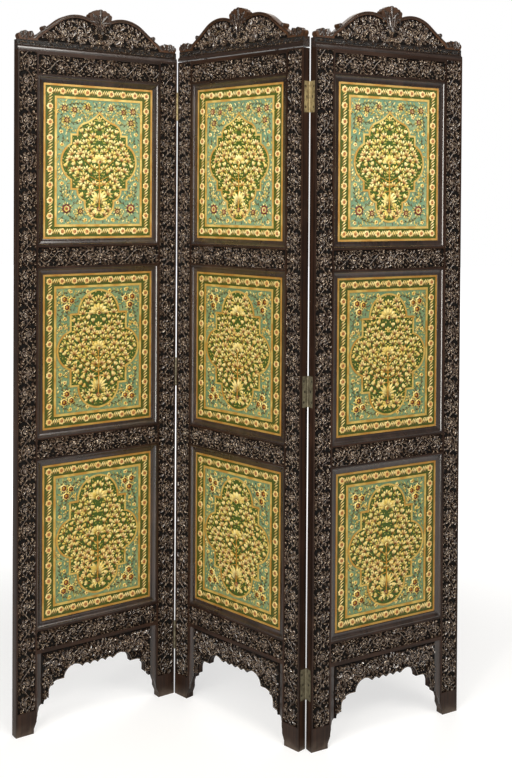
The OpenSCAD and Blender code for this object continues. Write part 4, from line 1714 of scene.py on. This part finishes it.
class PaintBox:
    """The painter's finishes and the relief motifs in them, modelled once."""

    def __init__(self) -> None:
        """Mixes the paints and models the motifs."""
        self.cream = Paint(
            "cream", seen(250, 235, 164), seen(236, 210, 112), seen(118, 92, 18)
        ).coat()
        self.pale = Paint(
            "pale_green", seen(208, 202, 114), seen(172, 172, 74), seen(90, 88, 20)
        ).coat()
        self.blush = Paint(
            "blush", seen(244, 222, 158), seen(232, 198, 122), seen(148, 92, 32)
        ).coat()
        self.rose = Paint(
            "rose", seen(174, 76, 44), seen(204, 122, 72), seen(160, 62, 34), seen(72, 30, 12)
        ).coat()
        self.red = Paint(
            "dark_red", seen(122, 34, 26), seen(90, 24, 18), seen(84, 22, 16), seen(44, 16, 8)
        ).coat()
        self.gold = Paint(
            "gold", seen(230, 190, 84), seen(204, 154, 58), seen(196, 146, 54), metal=0.3
        ).coat()
        self.olive = Paint(
            "olive", seen(224, 208, 116), seen(190, 172, 74), seen(104, 88, 22)
        ).coat()
        self.umber = Paint(
            "umber", seen(82, 56, 26), seen(104, 76, 34), seen(48, 32, 12)
        ).coat()
        self.straw = Paint(
            "straw", seen(246, 228, 164), seen(228, 202, 124), seen(150, 112, 42)
        ).coat()
        spear = ((0, 0.3, 0.5), (0.35, 0.85, 0.95), (0.65, 1.0, 1.0), (1, 0.1, 0.4))
        drop = ((0, 0.35, 0.5), (0.4, 0.8, 0.9), (0.75, 1.0, 1.0), (1, 0.35, 0.6))
        self.lance = Blade("lance", 14, 6.2, 2.2, spear, 0.2, 2).model(self.cream)
        self.long_leaf = Blade("long_leaf", 32, 8.4, 2.5, spear, 0.16, 2).model(self.cream)
        self.stroke = Blade("stroke", 15, 4.8, 2.0, spear, 0.12, 2).model(self.olive)
        self.dark_leaf = Blade("dark_leaf", 11, 5.0, 1.5, spear, 0.25, 2).model(self.umber)
        self.petal = Blade("petal", 11, 6.4, 2.5, drop, columns=2).model(self.cream)
        self.big_petal = Blade("big_petal", 14, 7.6, 2.7, drop, columns=2).model(self.cream)
        self.pale_petal = Blade("pale_petal", 10.5, 5.4, 2.1, drop, columns=2).model(self.pale)
        self.blush_petal = Blade("blush_petal", 11, 6.2, 2.5, drop, columns=2).model(self.blush)
        spindle = ((0, 0.25, 0.6), (0.5, 1.0, 1.0), (1, 0.25, 0.6))
        self.dash = Blade("dash", 17.5, 5.4, 2.3, spindle, columns=2).model(self.straw)
        self.seed = Blossom("seed", 4, 2.2, 2.2).model(self.umber, self.umber, self.gold)
        self.daisy = Blossom("daisy", 5, 7.8, 2.4, 0.7, 0.44, 0.26).model(
            self.cream, self.rose, self.gold
        )
        self.rosette = Blossom("rosette", 7, 9.8, 2.6, 0.82, 0.46, 0.26).model(
            self.blush, self.rose, self.straw
        )
        self.ring = Blossom("ring", 6, 9.8, 2.7, 0.8, 0.78, 0.36).model(
            self.cream, self.red, self.gold
        )
        self.bloom = Blossom("bloom", 10, 13.5, 2.7, 0.86, 0.6, 0.26).model(
            self.red, self.cream, self.rose
        )
        self.fleuron = self.fan("fleuron", self.petal, (-46, 0, 46), self.pale_petal, (-94, 94))
        self.lily = self.fan("lily", self.blush_petal, (-40, 0, 40), self.petal, (-80, 80))
        self.tulip = self.fan("tulip", self.petal, (-20, 20), self.blush_petal, (0,))
        self.palm = self.fan("palm", self.big_petal, (-80, -54, -27, 0, 27, 54, 80), self.petal, ())
        self.spring = self.spray("spring", self.daisy, 0.62)

    def fan(
        self,
        name: str,
        petal: Object,
        turns: Sequence[float],
        side: Object,
        side_turns: Sequence[float],
    ) -> Object:
        """Makes a motif of petals that fan out from one foot.

        Args:
            name: What it is called.
            petal: The petal.
            turns: The petals' directions, in degrees from up.
            side: The smaller petal at the sides.
            side_turns: The directions of those.

        Returns:
            The motif.
        """
        sheet = Drawing(name)
        for shape, ways in ((side, side_turns), (petal, turns)):
            for turn in ways:
                sheet.ring(shape, 0, 0, 1.4, turn)
        sheet.put(self.seed, 0, 0)
        return Bench.shelve(sheet.joined())

    def spray(self, name: str, flower: Object, size: float) -> Object:
        """Makes a small flower with leaves round it.

        Args:
            name: What it is called.
            flower: The flower.
            size: The flower's size.

        Returns:
            The motif.
        """
        sheet = Drawing(name)
        leaves = (self.lance, self.stroke, self.dark_leaf)
        for i, turn in enumerate(range(10, 360, 58)):
            sheet.ring(leaves[i % 3], 0, 0, 3.6, turn, 0.62)
        sheet.put(flower, 0, 0, size=size)
        return Bench.shelve(sheet.joined())


@dataclass
class PanelRelief:
    """The flower relief of a painted panel, measured from the panel's middle.

    Args:
        paints: The painter's motifs.
    """

    paints: PaintBox
    rosette_x: float = 138.0
    rosette_z: float = 178.0
    field_half_w: float = 119.5
    field_half_h: float = 159.5
    strap: float = 5.0
    rows_rise: float = 40.0
    across: int = 8
    upright: int = 9

    def forms(self, row: Row) -> list[Disc | Block | Hollow]:
        """The parts of a medallion's outline on the right of its middle line."""
        if row is Row.TOP:
            return [
                Block(0, 0, 82, 72),
                Disc(56, 0, 54),
                Disc(34, 72, 31),
                Disc(34, -72, 31),
                Block(0, 0, 34, 103),
                Disc(0, -106, 44),
                Hollow(71.2, 189.2, 92, 43.4),
            ]
        return [Block(0, 0, 82, 94.5), Disc(64.5, 0, 54), Disc(0, 94.5, 60), Disc(0, -94.5, 60)]

    def inside(self, row: Row, x: float, z: float, inset: float) -> bool:
        """Tells whether a point lies in the medallion, an inset away from its outline."""
        return any(form.gap(abs(x), z) < -inset for form in self.forms(row))

    def border(self, sheet: Drawing) -> None:
        """Draws the rosettes of the border, with slanting strokes between them."""
        paints = self.paints
        sides = (
            (self.rosette_x, self.rosette_z, self.across, 0),
            (self.rosette_z, self.rosette_x, self.upright, 90),
        )
        for reach, out, count, turn in sides:
            pitch = 2 * reach / count
            for hand in (-1, 1):
                for i in range(count + 1):
                    along = -reach + i * pitch
                    way = math.radians(turn)
                    spot = (
                        along * math.cos(way) - hand * out * math.sin(way),
                        along * math.sin(way) + hand * out * math.cos(way),
                    )
                    if turn == 0 or 0 < i < count:
                        sheet.put(paints.rosette, *spot, turn=37 * i)
                    if i == count:
                        continue
                    lean = math.radians(-28 if turn == 0 else -52)
                    for step in (-5.6, 0, 5.6):
                        x, z = along + pitch / 2 + step, hand * out
                        if turn:
                            x, z = -hand * out, along + pitch / 2 + 1.3 * step
                        foot = x + 8.0 * math.sin(lean), z - 8.0 * math.cos(lean)
                        sheet.put(paints.dash, *foot, math.degrees(lean), 0.94)

    def vine(self, sheet: Drawing, bend: Sequence[Point], taken: list, size: float = 0.72) -> None:
        """Draws a thin curved stem with leaves on both sides and a flower at its end.

        Args:
            sheet: The drawing.
            bend: Its start, the point that it bends towards, and its end.
            taken: The discs that are filled already, which gets its own.
            size: The leaves' size.
        """
        paints = self.paints
        (ax, az), (bx, bz), (cx, cz) = bend
        count = int(math.dist(bend[0], bend[2]) / 6.5) + 2
        line = []
        for i in range(count + 1):
            t = i / count
            u = 1 - t
            x = u * u * ax + 2 * u * t * bx + t * t * cx
            z = u * u * az + 2 * u * t * bz + t * t * cz
            line.append((x, z))
        sheet.stem(line, 0.7, 0.5, paints.olive, lift=0.4)
        leaves = (paints.lance, paints.dark_leaf, paints.stroke, paints.dark_leaf)
        for i in range(1, count):
            (x0, z0), (x1, z1) = line[i - 1], line[i + 1]
            along = math.degrees(math.atan2(z1 - z0, x1 - x0)) - 90
            side = 1 if i % 2 else -1
            sheet.put(leaves[i % 4], *line[i], along + side * 50, size, flip=side < 0)
            taken.append((*line[i], 6.5))
        sheet.put(paints.daisy, cx, cz, turn=20, size=0.8)
        taken.append((cx, cz, 8.0))

    def corner(self, row: Row, upper: bool, dice: random.Random) -> Object:
        """Draws the sprays of one corner of the field, from that corner inwards.

        Args:
            row: The panel's row.
            upper: Whether it is for the upper corners.
            dice: The seeded source of chance.

        Returns:
            The drawing, as the lower left corner has it.
        """
        paints = self.paints
        sheet, taken = Drawing("panel_corner"), []
        blooms = ((22, 28, 1.14, False), (42, 32, 1.04, False), (29, 49, 1.14, False))
        vines = [((42, 28), (60, 10), (88, 11)), ((24, 54), (8, 76), (12, 100))]
        vines += [((20, 20), (14, 10), (40, 9)), ((32, 54), (34, 66), (24, 78))]
        if row is Row.TOP and upper:
            blooms = ((21, 24, 0.55, True), (49, 27, 0.44, True))
            blooms += ((27, 54, 0.52, True), (86, 19, 0.4, True))
            vines = [((30, 16), (52, 6), (88, 12)), ((18, 34), (8, 56), (12, 84))]
            vines += [((38, 58), (52, 64), (62, 54)), ((62, 34), (46, 26), (46, 42))]
            vines += [((16, 92), (22, 104), (14, 116))]
        elif row is Row.TOP:
            blooms = ((27, 40, 0.98, True), (66, 33, 0.5, True))
            vines = [((32, 24), (40, 8), (80, 11)), ((24, 58), (10, 76), (14, 104))]
            vines += [((42, 46), (58, 62), (66, 56)), ((20, 22), (10, 18), (14, 9))]
        for x, z, size, dark in blooms:
            around = 13.5 * size if dark else 9 * size
            for turn in range(12, 360, 45 if dark else 72):
                shape = (paints.stroke, paints.dark_leaf)[turn % 2] if dark else paints.dark_leaf
                sheet.ring(shape, x, z, 0.7 * around, turn, 0.7)
                way, reach = math.radians(turn) + 0.4, 0.6 * around
                foot = x - reach * math.sin(way), z + reach * math.cos(way)
                sheet.put(paints.lance, *foot, turn + 23, 0.66)
            sheet.put(paints.bloom if dark else paints.ring, x, z, size=size)
            taken.append((x, z, around + 5))
        for bend in vines:
            self.vine(sheet, bend, taken)
        hand = 1 if upper else -1
        lance = paints.lance
        Bed(
            (paints.spring, lance, paints.stroke, lance, paints.dark_leaf, lance),
            lambda x, z: not self.inside(
                row, self.field_half_w - x, hand * (self.field_half_h - z), -5
            ),
            taken,
            (5, self.field_half_w - 1, 5, self.field_half_h - 1),
            7.6,
            lambda x, z: -40.0,
            dice,
            (0.66, 0.86),
            90.0,
        ).strew(sheet)
        return Bench.shelve(sheet.joined())

    def corners(self, sheet: Drawing, row: Row, dice: random.Random) -> None:
        """Draws the sprays on the teal field.

        Args:
            sheet: The drawing.
            row: The panel's row.
            dice: The seeded source of chance.
        """
        for upper in (False, True):
            drawing = self.corner(row, upper, dice)
            for hand in (-1, 1):
                z = self.field_half_h if upper else -self.field_half_h
                turn = 180 if upper else 0
                flip = (hand > 0) != upper
                sheet.put(drawing, hand * self.field_half_w, z, turn, flip=flip)

    def plant(self, sheet: Drawing, row: Row, dice: random.Random) -> None:
        """Draws the flowering shrub in the medallion, mirrored about its stem.

        Args:
            sheet: The drawing.
            row: The panel's row.
            dice: The seeded source of chance.
        """
        paints = self.paints
        foot = -122.0
        sheet.stem([(0, foot), (0.8, -60), (-0.5, -20), (0, 4)], 2.0, 1.2, paints.gold, lift=0.9)
        boughs = ((-62, 52, -28), (-48, 84, 12), (-26, 66, 46), (-8, 40, 84), (-70, 34, -84))
        for low, out, high in boughs:
            for hand in (-1, 1):
                bend = [(0.0, low), (hand * out * 0.4, low + (high - low) * 0.25)]
                bend += [(hand * out * 0.8, low + (high - low) * 0.62), (hand * out, high)]
                sheet.stem(bend, 1.2, 0.7, paints.gold, lift=0.5)
        tuft = ((0, 1.15), (18, 1.1), (-18, 1.1), (36, 1.0), (-36, 1.0), (58, 0.86), (-58, 0.86))
        for turn, size in tuft:
            sheet.put(paints.long_leaf, 0, foot + 18, turn, size, flip=turn > 0, lift=0.3)
            sheet.ring(paints.lance, 0, foot + 6, 9, turn, 1.2, face=turn * 1.5)
        for turn in (90, 112, 136, 160, -90, -112, -136, -160):
            sheet.put(paints.lance, 0, foot, turn, 1.25, flip=turn < 0)
        sheet.put(paints.bloom, 0, foot + 2, size=0.5)
        axis = ((-60, 0.8, None), (-30, 1.0, None), (0, 1.45, paints.ring), (34, 1.0, None))
        axis += ((58, 1.0, paints.daisy), (84, 1.25, None), (108, 0.9, paints.daisy))
        if row is not Row.TOP:
            axis = axis[:-2] + ((92, 1.75, paints.ring), (126, 1.1, None))
        taken = [(0.0, foot + 20, 20.0), (0.0, foot + 44, 12.0)]
        for z, size, heart in axis:
            big = heart is paints.ring
            sheet.put(paints.palm if big else paints.fleuron, 0, z, 0, size)
            if heart:
                sheet.put(heart, 0, z + 1, size=0.42 * size if big else 0.6, lift=1.2)
            taken.append((0.0, z + 6 * size, 11.5 * size))
        half = Drawing("plant_half")
        Bed(
            (paints.fleuron, paints.lily, paints.tulip, paints.fleuron, paints.tulip, paints.lily),
            lambda x, z: self.inside(row, x, z, self.strap + 5.4),
            taken,
            (9.0, 119, -150, 150),
            18.0,
            lambda x, z: -math.degrees(math.atan2(x, z + 175)) * (1.7 if z < -40 else 1.3),
            dice,
            (1.0, 1.18),
            22.0,
        ).rows(half, slope=self.rows_rise, keep=0.44)
        Bed(
            (paints.stroke, paints.lance, paints.pale_petal),
            lambda x, z: self.inside(row, x, z, self.strap + 3),
            [(x, z, 0.86 * reach) for x, z, reach in taken],
            (2, 119, -150, 150),
            6.6,
            lambda x, z: -math.degrees(math.atan2(x, z + 175)) * 1.4,
            dice,
            (0.42, 0.56),
            70.0,
        ).strew(half)
        side = half.joined()
        sheet.parts += [side, Bench.mirrored(side, "plant_other_half")]

    def build(self, places: list[Place]) -> None:
        """Lays the relief of all nine panels.

        Args:
            places: Where the leaves stand.
        """
        for seed, row in enumerate(Row):
            dice = random.Random(20 + seed)
            sheet = Drawing(f"relief_{row.value}")
            self.border(sheet)
            self.corners(sheet, row, dice)
            self.plant(sheet, row, dice)
            drawing = sheet.joined()
            middle_z = SCREEN.opening_z(row) + SCREEN.opening_h / 2
            for place in places:
                where = place.lay(SCREEN.leaf_w / 2, SCREEN.panel_recess, middle_z)
                name = f"{place.body}_panel_{row.value}_relief"
                Bench.lay(drawing, name, place.body, "painted_panel", where)
            bpy.data.objects.remove(drawing)


@dataclass
class Joinery:
    """The finishes of the parts that the solids carry."""

    frame_wood: Timber = Timber("frame_wood", seen(33, 21, 15), seen(55, 36, 25))
    carved_wood: Timber = Timber("carved_wood", seen(49, 34, 24), seen(85, 60, 42))
    bead_wood: Timber = Timber(
        "bead_wood", seen(30, 20, 15), seen(52, 35, 26), gloss=0.26, varnish=1.0
    )
    crest_wood: Timber = Timber("crest_wood", seen(58, 39, 27), seen(84, 57, 38))
    ground: PanelGround = PanelGround()
    brass: Metal = Metal("hinge_brass", seen(172, 156, 116), seen(130, 116, 84), metal=0.45)
    steel: Metal = Metal("pin_steel", seen(120, 108, 88), seen(74, 64, 50))

    def dress(self, relief: PanelRelief, places: list[Place]) -> None:
        """Puts the finishes on the solids.

        Args:
            relief: The panels' relief, for its sizes.
            places: Where the leaves stand.
        """
        nothing = (90.0, 91.0)
        field_at, apron_at, crest_at, rail_at = (3.4, 4.6), (4.6, 5.4), (5.4, 6.6), (4.7, 5.3)
        rails = ("top_rail", "upper_rail", "lower_rail", "bottom_rail")
        for place in places:
            upright = self.frame_wood.plain(place, Grain.UPRIGHT, field_at)
            level = self.frame_wood.plain(place, Grain.LEVEL, field_at)
            bead = self.bead_wood.plain(place, Grain.UPRIGHT, nothing)
            coats = dict.fromkeys(("stile_left", "stile_right"), upright)
            coats |= dict.fromkeys(rails, level)
            coats["apron"] = self.frame_wood.plain(place, Grain.LEVEL, apron_at)
            coats |= dict.fromkeys(("front_beading", "back_beading", "crest_dowels"), bead)
            coats["crest_rail"] = self.bead_wood.plain(place, Grain.LEVEL, rail_at)
            coats["crest"] = self.crest_wood.plain(place, Grain.LEVEL, crest_at)
            for row in Row:
                coats[f"panel_{row.value}"] = self.ground.coat(place, row, relief)
            for piece, coat in coats.items():
                self.coat(f"{place.body}_{piece}", coat)
        brass, steel = self.brass.coat(), self.steel.coat()
        for name in frame["nodes"]:
            if name.startswith("hinges"):
                self.coat(name, brass if "plates" in name else steel)

    def coat(self, node: str, finish: Material) -> None:
        """Puts a finish on one node.

        Args:
            node: The node's name.
            finish: The finish.
        """
        for slot in frame["nodes"][node].material_slots:
            slot.material = finish
        log.info("%s: %s", node, finish.name)


@dataclass(frozen=True)
class Lamp:
    """A soft lamp that points at the middle of the screen.

    Args:
        name: Its name.
        spot: Where it hangs.
        size: Its width.
        power: Its power in watts.
        height: Its height, where it isn't square.
    """

    name: str
    spot: Triple
    size: float
    power: float
    height: float | None = None

    def hang(self, colour: Colour, aim: Vector) -> None:
        """Hangs the lamp.

        Args:
            colour: The colour of its light.
            aim: What it points at.
        """
        light = bpy.data.lights.new(self.name, "AREA")
        light.shape = "RECTANGLE"
        light.size, light.size_y, light.energy = self.size, self.height or self.size, self.power
        light.color = colour
        lamp = bpy.data.objects.new(self.name, light)
        bpy.context.collection.objects.link(lamp)
        lamp.location = self.spot
        lamp.rotation_euler = (aim - Vector(self.spot)).to_track_quat("-Z", "Y").to_euler()


@dataclass
class Studio:
    """The pale floor, the light and the camera."""

    spot: Triple = (0.0201, -2.8395, 1.3371)
    yaw: float = 0.256
    pitch: float = -0.839
    roll: float = 0.353
    lens: float = 51.23
    shift: float = -0.22
    world_light: float = 0.32
    warmth: Colour = (1.0, 0.965, 0.91)
    world_gloss: float = 0.06
    aim: Triple = (0.0, 0.0, 0.9)
    lamps: tuple[Lamp, ...] = (
        Lamp("key", (2.2, -2.3, 3.1), 1.6, 62.0),
        Lamp("fill", (-2.0, -2.4, 3.3), 1.8, 27.0),
        Lamp("strip_left", (-2.01, -2.6, 1.1), 0.22, 25.0, 2.1),
        Lamp("strip_middle", (-0.9, -2.6, 1.1), 0.22, 24.0, 2.1),
        Lamp("spark_right", (1.0, -2.7, 2.9), 0.24, 9.0),
        Lamp("spark_left", (-1.1, -2.8, 2.7), 0.24, 7.0),
        Lamp("top", (0.1, -1.2, 3.6), 1.0, 22.0),
        Lamp("rear", (0.6, 3.2, 3.0), 2.4, 45.0),
    )

    def build(self) -> None:
        """Sets the stage, the lights and the camera."""
        self.floor()
        self.world()
        for lamp in self.lamps:
            lamp.hang(self.warmth, Vector(self.aim))
        self.camera()
        bpy.context.scene.view_settings.view_transform = "Standard"

    def floor(self) -> None:
        """Lays the pale floor."""
        Bench.clear()
        bpy.ops.mesh.primitive_plane_add(size=40)
        plane = bpy.context.object
        plane.name = "floor"
        shader = Shader("floor")
        path = shader.add("LightPath")
        glow = shader.add("Emission")
        x, y, _ = shader.parts(shader.room())
        away = shader.ease(shader.reach(x, y), 0.8, 3.0)
        shader.feed(glow.inputs["Color"], (1.0, 1.0, 1.0))
        shader.feed(glow.inputs["Strength"], shader.sum("MULTIPLY_ADD", away, 0.6, 0.5))
        plain = shader.add("BsdfDiffuse")
        shader.feed(plain.inputs["Color"], (0.55, 0.55, 0.55))
        both, pick = shader.add("AddShader"), shader.add("MixShader")
        shader.feed(both.inputs[0], plain.outputs[0])
        shader.feed(both.inputs[1], glow.outputs[0])
        shader.feed(pick.inputs[0], path.outputs["Is Camera Ray"])
        shader.feed(pick.inputs[1], plain.outputs[0])
        shader.feed(pick.inputs[2], both.outputs[0])
        shader.feed(shader.tree.nodes["Material Output"].inputs["Surface"], pick.outputs[0])
        plane.data.materials.append(shader.material)

    def world(self) -> None:
        """Makes surroundings that the camera sees white, dimmer as light and in reflections."""
        world = bpy.data.worlds.new("surroundings")
        bpy.context.scene.world = world
        world.use_nodes = True
        nodes, links = world.node_tree.nodes, world.node_tree.links
        back = nodes["Background"]
        back.inputs["Color"].default_value = (1.0, 1.0, 1.0, 1.0)
        path = nodes.new("ShaderNodeLightPath")
        light, mirrored = nodes.new("ShaderNodeMapRange"), nodes.new("ShaderNodeMapRange")
        links.new(path.outputs["Is Glossy Ray"], mirrored.inputs["Value"])
        mirrored.inputs["To Min"].default_value = self.world_light
        mirrored.inputs["To Max"].default_value = self.world_gloss
        links.new(path.outputs["Is Camera Ray"], light.inputs["Value"])
        links.new(mirrored.outputs[0], light.inputs["To Min"])
        light.inputs["To Max"].default_value = 1.0
        links.new(light.outputs[0], back.inputs["Strength"])

    def camera(self) -> None:
        """Sets the camera about where the photograph was taken from."""
        data = bpy.data.cameras.new("camera")
        data.sensor_fit, data.sensor_height, data.sensor_width = "VERTICAL", 36.0, 36.0
        data.lens, data.shift_y = self.lens, self.shift
        camera = bpy.data.objects.new("camera", data)
        bpy.context.collection.objects.link(camera)
        yaw, pitch, roll = (math.radians(a) for a in (self.yaw, self.pitch, self.roll))
        turn = Matrix.Rotation(-yaw, 4, "Z") @ Matrix.Rotation(math.pi / 2 + pitch, 4, "X")
        camera.matrix_world = Matrix.Translation(self.spot) @ turn @ Matrix.Rotation(roll, 4, "Z")
        bpy.context.scene.camera = camera


SCREEN = Screen()


def main() -> None:
    """Builds the dressing of the screen, one sub-assembly after another."""
    logging.basicConfig(level=logging.INFO, format="%(message)s")
    places = SCREEN.places()
    joinery = Joinery()
    tools = Chisels(joinery.carved_wood.carved())
    relief = PanelRelief(PaintBox())
    joinery.dress(relief, places)
    BandCarving(tools).build(places)
    ApronCarving(tools).build(places)
    CrestCarving(tools).build(places)
    relief.build(places)
    Studio().build()
    Bench.empty_shelf()


if __name__ == "__main__":
    main()
